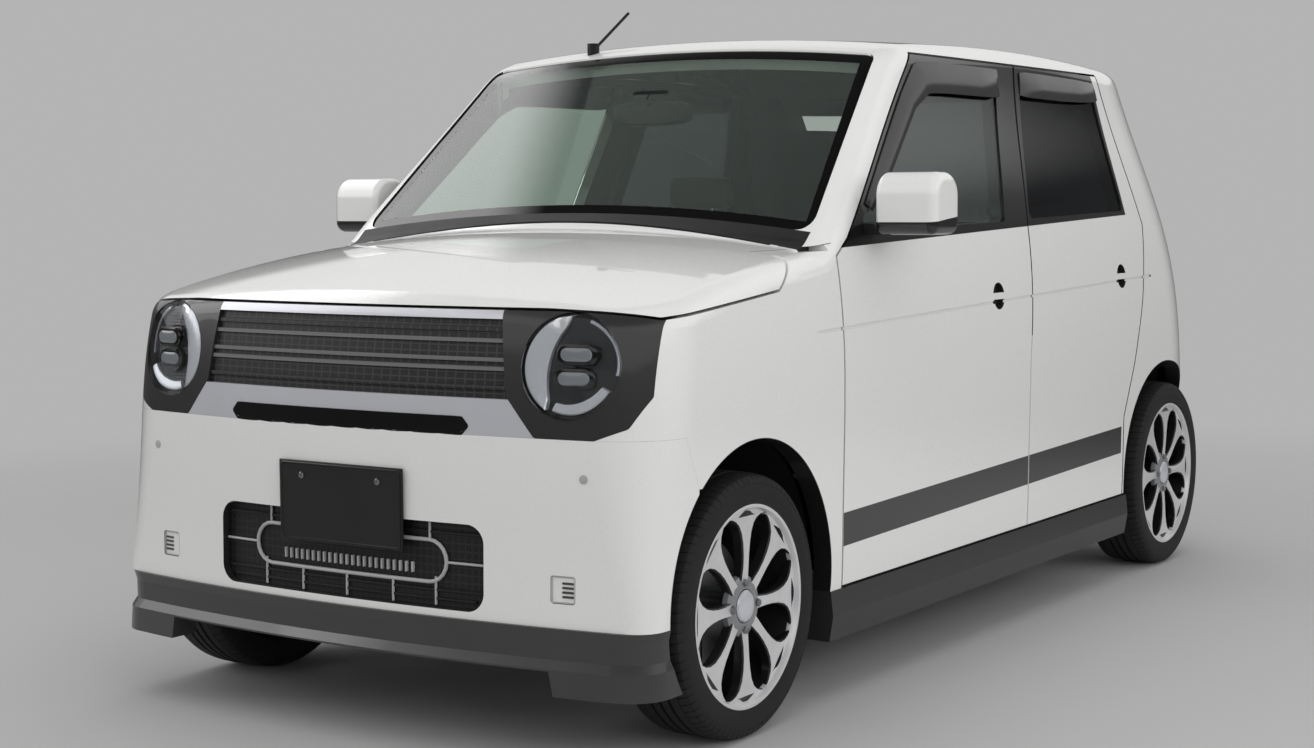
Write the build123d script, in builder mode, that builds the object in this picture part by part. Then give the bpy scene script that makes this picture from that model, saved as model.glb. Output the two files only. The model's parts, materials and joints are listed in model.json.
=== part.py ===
from build123d import *
import math
import os

os.makedirs("parts", exist_ok=True)

# Frame: ground under the middle of the car, front towards -Y, the car's left +X, mm.

# ---- whole car -----------------------------------------------------------------------
LENGTH = 3395
WIDTH = 1475
HEIGHT = 1556
WHEELBASE = 2520
TRACK = 1305
FRONT_OVERHANG = 460
LIP_REACH = 16            # the lip stands this far in front of the bumper
FRONT_AXLE = FRONT_OVERHANG - LENGTH / 2
REAR_AXLE = FRONT_AXLE + WHEELBASE
NOSE = -LENGTH / 2 + LIP_REACH
TAIL = LENGTH / 2

# ---- clearances ----------------------------------------------------------------------
GAP = 6                   # shut line round each door and lid
SEAM = 0.3                # between pieces that are fastened together
RUNNING = 0.5             # on a diameter's side, round a shaft

# ---- walls ---------------------------------------------------------------------------
PANEL = 45                # whole door, lid or roof with its lining
FLANGE = 20               # door frame behind the door
FLANGE_LAP = 20           # how far the frame laps behind the door's edge
RECESS = 18               # depth of handle cups, lamp cups and the lower grille
GLASS_SETBACK = 4
GLASS_THICK = 5
LINER = 6

# ---- registration plates ---------------------------------------------------------------
PLATE_BOLT_SPACING = 210
PLATE_BOLT_R = 3.5
FRONT_PLATE_BOLT_Z = 552
REAR_PLATE_BOLT_Z = 905

# ---- wheels --------------------------------------------------------------------------
TYRE_R = 281
TYRE_W = 165
RIM_R = 210
RIM_W = 152
RIM_WALL = 9
SPOKES = 8
HUB_R = 34
AXLE_Z = TYRE_R
KINGPIN_X = TRACK / 2 - 40
ARCH_R = 330
ARCH_LIFT = 20
FRONT_ARCH_SHIFT = 25     # the arches sit this far towards the middle of the car
REAR_ARCH_SHIFT = 40
LINER_R = ARCH_R + 8
FLOOR_FRONT = FRONT_AXLE + FRONT_ARCH_SHIFT + LINER_R + LINER + 4
FLOOR_REAR = REAR_AXLE - REAR_ARCH_SHIFT - LINER_R - LINER - 4

# ---- heights -------------------------------------------------------------------------
FLOOR_Z = 175
FLOOR_THICK = 25
DOOR_BOTTOM = 262
SKIRT_BOTTOM = 142
BUMPER_BOTTOM = 285
BELT_FRONT = 1030
BONNET_FRONT = 925
COWL_Z = 1060
LAMP_BOTTOM = 660
LUGGAGE_Z = 500

# ---- body form -----------------------------------------------------------------------
ROOF_CROWN_R = 5500
FRONT_PLAN_R = 4000
REAR_PLAN_R = 2600
SHOULDER_R = 60
INNER_SHOULDER_R = 8      # on the forms that lie deeper than the glass
# height, side tuck, nose setback, tail setback, front corner radius, rear corner radius
PLAN_SECTIONS = [
    (80, 40, 20, 25, 85, 280),
    (420, 5, 2, 2, 105, 310),
    (700, 1, 8, 12, 165, 360),
    (900, 10, 35, 39, 180, 385),
    (1060, 34, 80, 82, 190, 395),
    (1500, 127, 220, 245, 190, 430),
    (1760, 187, 330, 400, 190, 430),
]
WINDSCREEN_FOOT = (FRONT_AXLE + 352, COWL_Z)
WINDSCREEN_HEAD = (FRONT_AXLE + 870, HEIGHT - 34)
BONNET_START = (NOSE - 70, BONNET_FRONT - 20)
ROOF_FRONT = (FRONT_AXLE + 957, HEIGHT - 18)
ROOF_REAR = (TAIL + 200, HEIGHT - 96)
BONNET_BULGE = 22
ROOF_BULGE = 52
COWL_BEND_R = 90
HEADER_BEND_R = 260


def plan_outline(height, tuck, nose, tail, front_r, rear_r, inset):
    """Closed outline of the body seen from above, at one height."""
    half = WIDTH / 2 - tuck - inset
    front = NOSE + nose + inset
    rear = TAIL - tail - inset
    front_arc = FRONT_PLAN_R - inset
    rear_arc = REAR_PLAN_R - inset
    front_side = front + front_arc - math.sqrt(front_arc**2 - half**2)
    rear_side = rear - rear_arc + math.sqrt(rear_arc**2 - half**2)
    with BuildSketch(Plane.XY.offset(height)) as outline:
        with BuildLine():
            ThreePointArc((-half, front_side), (0, front), (half, front_side))
            Line((half, front_side), (half, rear_side))
            ThreePointArc((half, rear_side), (0, rear), (-half, rear_side))
            Line((-half, rear_side), (-half, front_side))
        make_face()
        corners = outline.vertices().sort_by(Axis.Y)
        fillet(corners[:2], front_r - inset)
        fillet(outline.vertices().filter_by_position(Axis.Y, rear_side - 1, rear_side + 1), rear_r - inset)
    return outline.sketch


def shoulder_edges(part):
    """Edges where the roof, the glass or the bonnet meet the sides."""
    faces = part.faces()
    found = ShapeList()
    for edge in part.edges():
        middle = edge @ 0.5
        if middle.Z < LAMP_BOTTOM:
            continue
        sides = [face for face in faces if any(edge.is_same(other) for other in face.edges())]
        facing_up = [face.normal_at(middle).Z > 0.5 for face in sides]
        if len(sides) == 2 and sum(facing_up) == 1:
            found.append(edge)
    return found


def circle_of(start, end, bulge):
    """Centre and radius of the arc from start to end that rises by bulge."""
    chord = Vector(*end) - Vector(*start)
    radius = (chord.length**2 / 4 + bulge**2) / (2 * bulge)
    up = Vector(-chord.Y, chord.X).normalized()
    return Vector(*start) + chord / 2 - up * (radius - bulge), radius


def top_of(circle, along):
    """Point on the top of a circle, at one place along the car."""
    centre, radius = circle
    return (along, centre.Y + math.sqrt(radius**2 - (along - centre.X) ** 2))


def crossing(point, direction, circle):
    """Where the line through point meets the circle, nearest to point."""
    centre, radius = circle
    apart = Vector(*point) - centre
    half_b = apart.dot(direction)
    root = math.sqrt(half_b**2 - apart.length**2 + radius**2)
    step = min(-half_b - root, -half_b + root, key=abs)
    met = Vector(*point) + direction * step
    return (met.X, met.Y)


def top_profile(inset):
    """Bonnet, windscreen and roof line in side view, closed well below the sills."""
    centre, radius = circle_of(BONNET_START, WINDSCREEN_FOOT, BONNET_BULGE)
    bonnet_line = (centre, radius - inset)
    centre, radius = circle_of(ROOF_FRONT, ROOF_REAR, ROOF_BULGE)
    roof_line = (centre, radius - inset)
    slope = (Vector(*WINDSCREEN_HEAD) - Vector(*WINDSCREEN_FOOT)).normalized()
    inwards = Vector(slope.Y, -slope.X) * inset
    foot = crossing((WINDSCREEN_FOOT[0] + inwards.X, WINDSCREEN_FOOT[1] + inwards.Y), slope, bonnet_line)
    head = crossing((WINDSCREEN_HEAD[0] + inwards.X, WINDSCREEN_HEAD[1] + inwards.Y), slope, roof_line)
    front, rear = BONNET_START[0], ROOF_REAR[0]
    with BuildSketch(Plane.YZ) as side:
        with BuildLine():
            ThreePointArc(top_of(bonnet_line, front), top_of(bonnet_line, (front + foot[0]) / 2), foot)
            Line(foot, head)
            ThreePointArc(head, top_of(roof_line, (head[0] + rear) / 2), top_of(roof_line, rear))
            Polyline(top_of(roof_line, rear), (rear, -200), (front, -200), top_of(bonnet_line, front))
        make_face()
        fillet(side.vertices().filter_by_position(Axis.X, foot[0] - 1, foot[0] + 1), COWL_BEND_R + inset)
        fillet(side.vertices().filter_by_position(Axis.X, head[0] - 1, head[0] + 1), HEADER_BEND_R - inset)
    return side.sketch


def body_form(inset):
    """The whole body as one smooth solid, moved inwards by inset."""
    with BuildPart() as form:
        loft(sections=[plan_outline(*row, inset) for row in PLAN_SECTIONS])
        revolve(top_profile(inset), axis=Axis((0, 0, HEIGHT - ROOF_CROWN_R), (0, 1, 0)), mode=Mode.INTERSECT)
        deep = inset > GLASS_SETBACK + GLASS_THICK
        fillet(shoulder_edges(form.part), INNER_SHOULDER_R if deep else SHOULDER_R - inset)
    return form.part


OUTER = body_form(0)
LINED = body_form(PANEL)
FRAME_OUTER = body_form(PANEL + SEAM)
FRAME_INNER = body_form(PANEL + SEAM + FLANGE)
GLASS_OUTER = body_form(GLASS_SETBACK)
GLASS_INNER = body_form(GLASS_SETBACK + GLASS_THICK)
FRAME_LINED = body_form(PANEL + 2 * SEAM + FLANGE)
RECESSED = body_form(RECESS)


def side_prism(points, x_from, x_to, grow=0.0, round_r=0.0):
    """Block whose outline is drawn in side view (y, z)."""
    with BuildPart() as prism:
        with BuildSketch(Plane.YZ.offset(x_from)) as outline:
            with BuildLine():
                Polyline(*points, close=True)
            make_face()
            if round_r:
                fillet(outline.vertices(), round_r)
            if grow:
                offset(amount=grow, kind=Kind.INTERSECTION)
        extrude(amount=x_to - x_from)
    return prism.part


def front_prism(points, y_from, y_to, grow=0.0, round_r=0.0):
    """Block whose outline is drawn in front view (x, z)."""
    with BuildPart() as prism:
        with BuildSketch(Plane.XZ.offset(-y_from)) as outline:
            with BuildLine():
                Polyline(*points, close=True)
            make_face()
            if round_r:
                fillet(outline.vertices(), round_r)
            if grow:
                offset(amount=grow, kind=Kind.INTERSECTION)
        extrude(amount=-(y_to - y_from))
    return prism.part


def top_prism(points, z_from, z_to, grow=0.0, round_r=0.0):
    """Block whose outline is drawn in plan view (x, y)."""
    with BuildPart() as prism:
        with BuildSketch(Plane.XY.offset(z_from)) as outline:
            with BuildLine():
                Polyline(*points, close=True)
            make_face()
            if round_r:
                fillet(outline.vertices(), round_r)
            if grow:
                offset(amount=grow, kind=Kind.INTERSECTION)
        extrude(amount=z_to - z_from)
    return prism.part


def block(x_from, x_to, y_from, y_to, z_from, z_to):
    """Plain block between two corners."""
    with BuildPart() as box:
        with Locations(((x_from + x_to) / 2, (y_from + y_to) / 2, (z_from + z_to) / 2)):
            Box(x_to - x_from, y_to - y_from, z_to - z_from)
    return box.part


def cross_cylinder(y, z, radius, x_from, x_to):
    """Cylinder lying across the car."""
    with BuildPart() as cylinder:
        with BuildSketch(Plane.YZ.offset(x_from)):
            with Locations((y, z)):
                Circle(radius)
        extrude(amount=x_to - x_from)
    return cylinder.part


def long_cylinder(x, z, radius, y_from, y_to):
    """Cylinder lying along the car."""
    with BuildPart() as cylinder:
        with BuildSketch(Plane.XZ.offset(-y_from)):
            with Locations((x, z)):
                Circle(radius)
        extrude(amount=-(y_to - y_from))
    return cylinder.part


def save(name, part):
    """Label one finished piece and write it."""
    part.label = name
    export_step(part, f"parts/{name}.step")


def save_pair(name, left):
    """Write a left-hand piece and its mirror image."""
    save(f"{name}_left", left)
    save(f"{name}_right", left.mirror(Plane.YZ))


SIDES = [("left", 1), ("right", -1)]
FAR = WIDTH              # beyond any side

# ---- crease along the sides --------------------------------------------------------------
CREASE_FRONT = (FRONT_AXLE + 290, 838)
CREASE_REAR = (REAR_AXLE - 160, 895)
CREASE_HALF = 3.5
CREASE = side_prism([
    (CREASE_FRONT[0], CREASE_FRONT[1] - CREASE_HALF), (CREASE_REAR[0], CREASE_REAR[1] - CREASE_HALF),
    (CREASE_REAR[0], CREASE_REAR[1] + CREASE_HALF), (CREASE_FRONT[0], CREASE_FRONT[1] + CREASE_HALF),
], WIDTH / 4, FAR) - GLASS_OUTER

# ---- outlines seen from the side: y, z -------------------------------------------------
DOOR_FRONT_Y = FRONT_AXLE + 410
SHUT_Y = REAR_AXLE - 1077
ROOF_EDGE = 560
COWL_HALF = 655
DOOR_TOP = HEIGHT - 73
FRONT_DOOR = [
    (DOOR_FRONT_Y, DOOR_BOTTOM), (DOOR_FRONT_Y, BELT_FRONT - 30), (DOOR_FRONT_Y + 62, BELT_FRONT + 8),
    (FRONT_AXLE + 978, DOOR_TOP), (SHUT_Y + 144, DOOR_TOP), (SHUT_Y + 45, BELT_FRONT + 30),
    (SHUT_Y, DOOR_BOTTOM + 440), (SHUT_Y, DOOR_BOTTOM),
]
REAR_DOOR = [
    (SHUT_Y + GAP, DOOR_BOTTOM), (SHUT_Y + GAP, DOOR_BOTTOM + 440), (SHUT_Y + GAP + 45, BELT_FRONT + 30),
    (SHUT_Y + 2 * GAP + 144, DOOR_TOP), (REAR_AXLE - 332, DOOR_TOP), (REAR_AXLE - 182, BELT_FRONT + 16),
    (REAR_AXLE - 242, 825), (REAR_AXLE - 310, 640), (REAR_AXLE - 384, 490), (REAR_AXLE - 384, DOOR_BOTTOM),
]
FRONT_WINDOW = [
    (FRONT_AXLE + 528, BELT_FRONT + 22), (FRONT_AXLE + 1008, HEIGHT - 99), (SHUT_Y + 27, HEIGHT - 99),
    (SHUT_Y - 95, BELT_FRONT + 38),
]
REAR_WINDOW = [
    (SHUT_Y + 65, BELT_FRONT + 44), (SHUT_Y + 180, HEIGHT - 99), (REAR_AXLE - 382, HEIGHT - 99),
    (REAR_AXLE - 318, BELT_FRONT + 60),
]
BONNET_SIDE = [
    (NOSE - 200, BONNET_FRONT - 7), (FRONT_AXLE - 362, BONNET_FRONT - 9), (FRONT_AXLE - 282, BONNET_FRONT - 26),
    (FRONT_AXLE + 136, BONNET_FRONT + 14), (FRONT_AXLE + 240, COWL_Z - 45), (FRONT_AXLE + 380, COWL_Z - 40),
    (FRONT_AXLE + 380, HEIGHT), (NOSE - 200, HEIGHT),
]
BUMPER_SPLIT = [(FRONT_AXLE - 252, LAMP_BOTTOM), (FRONT_AXLE - 202, 552)]
TAILGATE_Y = REAR_AXLE + 122
BUMPER_TOP = 600

# ---- outline seen from above: x, y -------------------------------------------------------
GLASS_FOOT_Y = FRONT_AXLE + 395
GLASS_HEAD_Y = FRONT_AXLE + 868
GLASS_CORNER_R = 35
GLASS_LOWEST = 950
GLASS_HEAD_HALF = 574
WINDSCREEN = [(-COWL_HALF, GLASS_FOOT_Y), (COWL_HALF, GLASS_FOOT_Y), (GLASS_HEAD_HALF, GLASS_HEAD_Y),
              (-GLASS_HEAD_HALF, GLASS_HEAD_Y)]

# ---- outlines seen from the front: x, z ------------------------------------------------
LAMP = [
    (386, BONNET_FRONT), (704, BONNET_FRONT), (704, 745), (672, 684), (610, LAMP_BOTTOM), (478, LAMP_BOTTOM), (412, 740),
]
TAILGATE = [
    (-592, BUMPER_TOP + GAP), (592, BUMPER_TOP + GAP), (592, 1000), (548, HEIGHT - 60), (520, HEIGHT + 50),
    (-520, HEIGHT + 50), (-548, HEIGHT - 60), (-592, 1000),
]
PLATE_NICHE = [(-205, 740), (205, 740), (205, 960), (-205, 960)]
REAR_GLASS = [(-520, 1050), (520, 1050), (476, HEIGHT - 111), (-476, HEIGHT - 111)]
TAIL_LAMP = [(612, 720), (705, 720), (700, 1000), (612, 1000)]

arch_centres = [FRONT_AXLE + FRONT_ARCH_SHIFT, REAR_AXLE - REAR_ARCH_SHIFT]
ARCH_Z = AXLE_Z + ARCH_LIFT

# ---- doors -----------------------------------------------------------------------------
HANDLE_R = 34
HANDLE_BAR = 17
for place, door_outline, window_outline, handle_y, handle_z in (
    ("front", FRONT_DOOR, FRONT_WINDOW, SHUT_Y - 191, 879),
    ("rear", REAR_DOOR, REAR_WINDOW, REAR_AXLE - 400, 901),
):
    with BuildPart() as door:
        add(OUTER)
        add(side_prism(door_outline, ROOF_EDGE + GAP, FAR), mode=Mode.INTERSECT)
        add(LINED, mode=Mode.SUBTRACT)
        add(side_prism(window_outline, 0, FAR, round_r=18), mode=Mode.SUBTRACT)
        add(CREASE, mode=Mode.SUBTRACT)
        cup = cross_cylinder(handle_y, handle_z, HANDLE_R, WIDTH / 4, FAR) - RECESSED
        cup -= block(0, FAR, handle_y - HANDLE_R, handle_y + HANDLE_R, handle_z - HANDLE_BAR / 2, handle_z + HANDLE_BAR / 2)
        add(cup, mode=Mode.SUBTRACT)
    save_pair(f"{place}_door", door.part)
    with BuildPart() as glass:
        add(GLASS_OUTER)
        add(side_prism(window_outline, 0, FAR, grow=-SEAM, round_r=18), mode=Mode.INTERSECT)
        add(GLASS_INNER, mode=Mode.SUBTRACT)
    save_pair(f"{place}_door_glass", glass.part)

# ---- door mirrors ----------------------------------------------------------------------
MIRROR_X = 812
MIRROR_Y = FRONT_AXLE + 605
MIRROR_Z = 1118
MIRROR_SIZE = (152, 136, 142)
with BuildPart() as mirror_unit:
    with Locations((MIRROR_X + 4, MIRROR_Y, MIRROR_Z)):
        Box(*MIRROR_SIZE)
    fillet(mirror_unit.edges().filter_by(Axis.X).group_by(Axis.Z)[-1], 54)
    fillet(mirror_unit.edges().filter_by(Axis.X).group_by(Axis.Z)[0], 26)
    fillet(mirror_unit.faces().sort_by(Axis.X)[-1].edges(), 24)
    fillet(mirror_unit.faces().sort_by(Axis.X)[0].edges(), 14)
    with BuildSketch(Plane.YZ.offset(MIRROR_X - 40)):
        with Locations((MIRROR_Y - 20, MIRROR_Z - 58)):
            Rectangle(60, 26)
    extrude(amount=-120)
    add(OUTER.moved(Location((SEAM, 0, 0))), mode=Mode.SUBTRACT)
save_pair("door_mirror", mirror_unit.part)

# ---- side frames: pillars, cant rail, rear quarter and sill ------------------------------
SIDE_REGION = [
    (DOOR_FRONT_Y - 75, COWL_Z - 40), (DOOR_FRONT_Y - GAP, BELT_FRONT + 2), (DOOR_FRONT_Y - GAP, FLOOR_Z),
    (REAR_AXLE - REAR_ARCH_SHIFT, FLOOR_Z), (REAR_AXLE, BUMPER_TOP), (TAIL, BUMPER_TOP),
    (TAIL, HEIGHT + 50), (DOOR_FRONT_Y - 75, HEIGHT + 50),
]
with BuildPart() as frame:
    add(OUTER)
    add(side_prism(SIDE_REGION, ROOF_EDGE - 80, FAR), mode=Mode.INTERSECT)
    add(FRAME_INNER, mode=Mode.SUBTRACT)
    rooms = side_prism(FRONT_DOOR, 0, FAR, grow=GAP) + side_prism(REAR_DOOR, 0, FAR, grow=GAP)
    rooms += block(0, FAR, DOOR_FRONT_Y - 60, REAR_AXLE - 300, FLOOR_Z - 50, DOOR_BOTTOM)
    rooms += front_prism(TAILGATE, TAILGATE_Y - GAP, TAIL + 100, grow=GAP)
    add(rooms - FRAME_OUTER, mode=Mode.SUBTRACT)
    add(side_prism(FRONT_DOOR, 0, FAR, grow=-FLANGE_LAP), mode=Mode.SUBTRACT)
    add(side_prism(REAR_DOOR, 0, FAR, grow=-FLANGE_LAP), mode=Mode.SUBTRACT)
    add(front_prism(TAILGATE, TAILGATE_Y - GAP, TAIL + 100, grow=-FLANGE_LAP), mode=Mode.SUBTRACT)
    add(top_prism(WINDSCREEN, GLASS_LOWEST, HEIGHT + 100, round_r=GLASS_CORNER_R), mode=Mode.SUBTRACT)
    add(block(0, COWL_HALF + SEAM, NOSE, GLASS_FOOT_Y, 0, HEIGHT), mode=Mode.SUBTRACT)
    add(cross_cylinder(arch_centres[1], ARCH_Z, ARCH_R, 0, FAR), mode=Mode.SUBTRACT)
    add(block(0, ROOF_EDGE + SEAM, GLASS_HEAD_Y, LENGTH / 2, HEIGHT - 200, HEIGHT + 100), mode=Mode.SUBTRACT)
    add(block(600, 655, DOOR_FRONT_Y - GAP, FLOOR_REAR, FLOOR_Z, DOOR_BOTTOM + 28))
    add(front_prism(TAIL_LAMP, REAR_AXLE + 60 - SEAM, TAIL + 100, grow=SEAM), mode=Mode.SUBTRACT)
    add(CREASE, mode=Mode.SUBTRACT)
save_pair("side_frame", frame.part)

with BuildPart() as tail_lamps:
    add(OUTER)
    add(front_prism(TAIL_LAMP, REAR_AXLE + 60, TAIL + 100), mode=Mode.INTERSECT)
    add(LINED, mode=Mode.SUBTRACT)
    mirror(about=Plane.YZ)
save("tail_lamps", tail_lamps.part)

# ---- roof ------------------------------------------------------------------------------
ROOF_FRONT_Y = GLASS_HEAD_Y + SEAM
with BuildPart() as roof:
    add(OUTER)
    with Locations((0, (ROOF_FRONT_Y + TAILGATE_Y - GAP) / 2, HEIGHT)):
        Box(2 * ROOF_EDGE, TAILGATE_Y - GAP - ROOF_FRONT_Y, 300, mode=Mode.INTERSECT)
    add(LINED, mode=Mode.SUBTRACT)
save("roof_panel", roof.part)

# ---- windscreen ------------------------------------------------------------------------
with BuildPart() as windscreen:
    add(GLASS_OUTER)
    add(top_prism(WINDSCREEN, GLASS_LOWEST, HEIGHT + 100, grow=-SEAM, round_r=GLASS_CORNER_R), mode=Mode.INTERSECT)
    add(GLASS_INNER, mode=Mode.SUBTRACT)
save("windscreen", windscreen.part)

# ---- tailgate --------------------------------------------------------------------------
with BuildPart() as tailgate:
    add(OUTER)
    add(front_prism(TAILGATE, TAILGATE_Y, TAIL + 100), mode=Mode.INTERSECT)
    add(LINED, mode=Mode.SUBTRACT)
    add(front_prism(REAR_GLASS, TAILGATE_Y, TAIL + 100, round_r=30), mode=Mode.SUBTRACT)
    add(front_prism(PLATE_NICHE, TAILGATE_Y, TAIL + 100, round_r=20) - GLASS_INNER, mode=Mode.SUBTRACT)
    for sign in (1, -1):
        add(long_cylinder(sign * PLATE_BOLT_SPACING / 2, REAR_PLATE_BOLT_Z, PLATE_BOLT_R, TAIL - 150, TAIL + 50),
            mode=Mode.SUBTRACT)
save("tailgate", tailgate.part)

with BuildPart() as tailgate_glass:
    add(GLASS_OUTER)
    add(front_prism(REAR_GLASS, TAILGATE_Y, TAIL + 100, grow=-SEAM, round_r=30), mode=Mode.INTERSECT)
    add(GLASS_INNER, mode=Mode.SUBTRACT)
save("tailgate_glass", tailgate_glass.part)

# ---- bonnet ----------------------------------------------------------------------------
BONNET_REAR_Y = FRONT_AXLE + 368
BONNET_REAR_SIDE_Y = FRONT_AXLE + 325
with BuildPart() as bonnet:
    add(OUTER)
    add(side_prism(BONNET_SIDE, -FAR, FAR), mode=Mode.INTERSECT)
    with BuildSketch(Plane.XY.offset(LAMP_BOTTOM)):
        with BuildLine():
            ThreePointArc((-700, BONNET_REAR_SIDE_Y), (0, BONNET_REAR_Y), (700, BONNET_REAR_SIDE_Y))
            Polyline((700, BONNET_REAR_SIDE_Y), (FAR, BONNET_REAR_SIDE_Y), (FAR, NOSE - 200), (-FAR, NOSE - 200),
                     (-FAR, BONNET_REAR_SIDE_Y), (-700, BONNET_REAR_SIDE_Y))
        make_face()
    extrude(amount=HEIGHT, mode=Mode.INTERSECT)
    add(LINED, mode=Mode.SUBTRACT)
save("bonnet", bonnet.part)

# ---- front fenders ---------------------------------------------------------------------
FENDER = [
    BUMPER_SPLIT[1], BUMPER_SPLIT[0], (NOSE - 100, LAMP_BOTTOM), (NOSE - 100, BONNET_FRONT + 20),
    (FRONT_AXLE + 240, COWL_Z - 40 - SEAM), (DOOR_FRONT_Y - 75 - SEAM, COWL_Z - 40 - SEAM), (DOOR_FRONT_Y - GAP, BELT_FRONT),
    (DOOR_FRONT_Y - GAP, DOOR_BOTTOM - GAP), (FRONT_AXLE, DOOR_BOTTOM - GAP), (FRONT_AXLE, 552),
]
with BuildPart() as fenders:
    add(OUTER)
    add(side_prism(FENDER, LAMP[4][0] - 20, FAR), mode=Mode.INTERSECT)
    add(LINED, mode=Mode.SUBTRACT)
    add(block(0, COWL_HALF + SEAM, FRONT_AXLE - 230, FRONT_AXLE + 500, 0, HEIGHT), mode=Mode.SUBTRACT)
    add(cross_cylinder(arch_centres[0], ARCH_Z, ARCH_R, 0, FAR), mode=Mode.SUBTRACT)
    add(front_prism(LAMP, NOSE - 100, FRONT_AXLE - 230 + SEAM, grow=SEAM, round_r=14), mode=Mode.SUBTRACT)
    add(side_prism(BONNET_SIDE, 0, FAR, grow=GAP), mode=Mode.SUBTRACT)
    add(CREASE, mode=Mode.SUBTRACT)
    mirror(about=Plane.YZ)
save("front_fenders", fenders.part)

# ---- headlamps -------------------------------------------------------------------------
LAMP_X = 548
LAMP_Z = 803
LAMP_R = 106
PROJECTOR_R = 27
PROJECTOR_RISE = 26       # the two projectors stand this far above and below the lamp's centre
lamp_cup = long_cylinder(LAMP_X, LAMP_Z, LAMP_R, NOSE - 20, NOSE + 300) - RECESSED
for rise in (-PROJECTOR_RISE, PROJECTOR_RISE):
    lamp_cup -= long_cylinder(LAMP_X, LAMP_Z + rise, PROJECTOR_R, NOSE - 20, NOSE + 300) & GLASS_INNER
with BuildPart() as headlamps:
    add(OUTER)
    add(front_prism(LAMP, NOSE - 100, FRONT_AXLE - 230, round_r=14), mode=Mode.INTERSECT)
    add(LINED, mode=Mode.SUBTRACT)
    add(side_prism(BONNET_SIDE, 0, FAR, grow=GAP), mode=Mode.SUBTRACT)
    add(lamp_cup, mode=Mode.SUBTRACT)
    mirror(about=Plane.YZ)
save("headlamps", headlamps.part)

# ---- grille and bright trim between the lamps ----------------------------------------------
GRILLE_TOP = 893
GRILLE_BOTTOM = 734
GRILLE_BARS = [(752, 760), (790, 798), (808, 816), (846, 854), (868, 876)]
AIR_SLOT = [(-315, 664), (315, 664), (315, 691), (-315, 691)]
with BuildPart() as nose:
    add(OUTER)
    add(block(-480, 480, NOSE - 100, NOSE + 200, LAMP_BOTTOM, BONNET_FRONT), mode=Mode.INTERSECT)
    lamp = front_prism(LAMP, NOSE - 100, FRONT_AXLE - 200, grow=SEAM, round_r=14)
    add(lamp + lamp.mirror(Plane.YZ), mode=Mode.SUBTRACT)
    add(side_prism(BONNET_SIDE, -FAR, FAR, grow=GAP), mode=Mode.SUBTRACT)
    add(LINED, mode=Mode.SUBTRACT)

with BuildPart() as grille:
    add(nose)
    add(block(-480, 480, NOSE - 100, NOSE + 200, GRILLE_BOTTOM + SEAM, GRILLE_TOP - SEAM), mode=Mode.INTERSECT)
    spaces = block(-480, 480, NOSE - 100, NOSE + 200, GRILLE_BOTTOM, GRILLE_TOP) - GLASS_INNER
    for z_from, z_to in GRILLE_BARS:
        spaces -= block(-480, 480, NOSE - 100, NOSE + 200, z_from, z_to) & GLASS_OUTER
    add(spaces, mode=Mode.SUBTRACT)
save("upper_grille", grille.part)

with BuildPart() as garnish:
    add(nose)
    add(block(-480, 480, NOSE - 100, NOSE + 200, GRILLE_BOTTOM, GRILLE_TOP), mode=Mode.SUBTRACT)
    add(front_prism(AIR_SLOT, NOSE - 100, NOSE + 200, round_r=12) - RECESSED, mode=Mode.SUBTRACT)
save("front_garnish", garnish.part)

# ---- front bumper ----------------------------------------------------------------------
FOG_COVER_X = 543
LOWER_GRILLE = [(-362, 300), (362, 300), (362, 478), (-362, 478)]
BUMPER = [
    (NOSE - 100, BUMPER_BOTTOM), (FRONT_AXLE - 200, BUMPER_BOTTOM), (BUMPER_SPLIT[1][0] - SEAM, BUMPER_SPLIT[1][1]),
    (BUMPER_SPLIT[0][0] - SEAM, LAMP_BOTTOM - SEAM), (NOSE - 100, LAMP_BOTTOM - SEAM),
]
with BuildPart() as bumper:
    add(OUTER)
    add(side_prism(BUMPER, -FAR, FAR), mode=Mode.INTERSECT)
    add(LINED, mode=Mode.SUBTRACT)
    add(cross_cylinder(arch_centres[0], ARCH_Z, ARCH_R, -FAR, FAR), mode=Mode.SUBTRACT)
    add(front_prism(LOWER_GRILLE, NOSE - 100, FRONT_AXLE, round_r=40), mode=Mode.SUBTRACT)
    for sign in (1, -1):
        x = sign * FOG_COVER_X
        cover = front_prism([(x - 28, 334), (x + 28, 334), (x + 28, 390), (x - 28, 390)], NOSE - 100, NOSE + 200, round_r=6)
        add(cover - GLASS_OUTER, mode=Mode.SUBTRACT)
        add(long_cylinder(sign * PLATE_BOLT_SPACING / 2, FRONT_PLATE_BOLT_Z, PLATE_BOLT_R, NOSE - 50, NOSE + 100),
            mode=Mode.SUBTRACT)
save("front_bumper", bumper.part)

with BuildPart() as lower_grille:
    add(RECESSED)
    add(front_prism(LOWER_GRILLE, NOSE - 100, FRONT_AXLE, grow=-SEAM, round_r=40), mode=Mode.INTERSECT)
    add(LINED, mode=Mode.SUBTRACT)
save("lower_grille", lower_grille.part)

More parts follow.
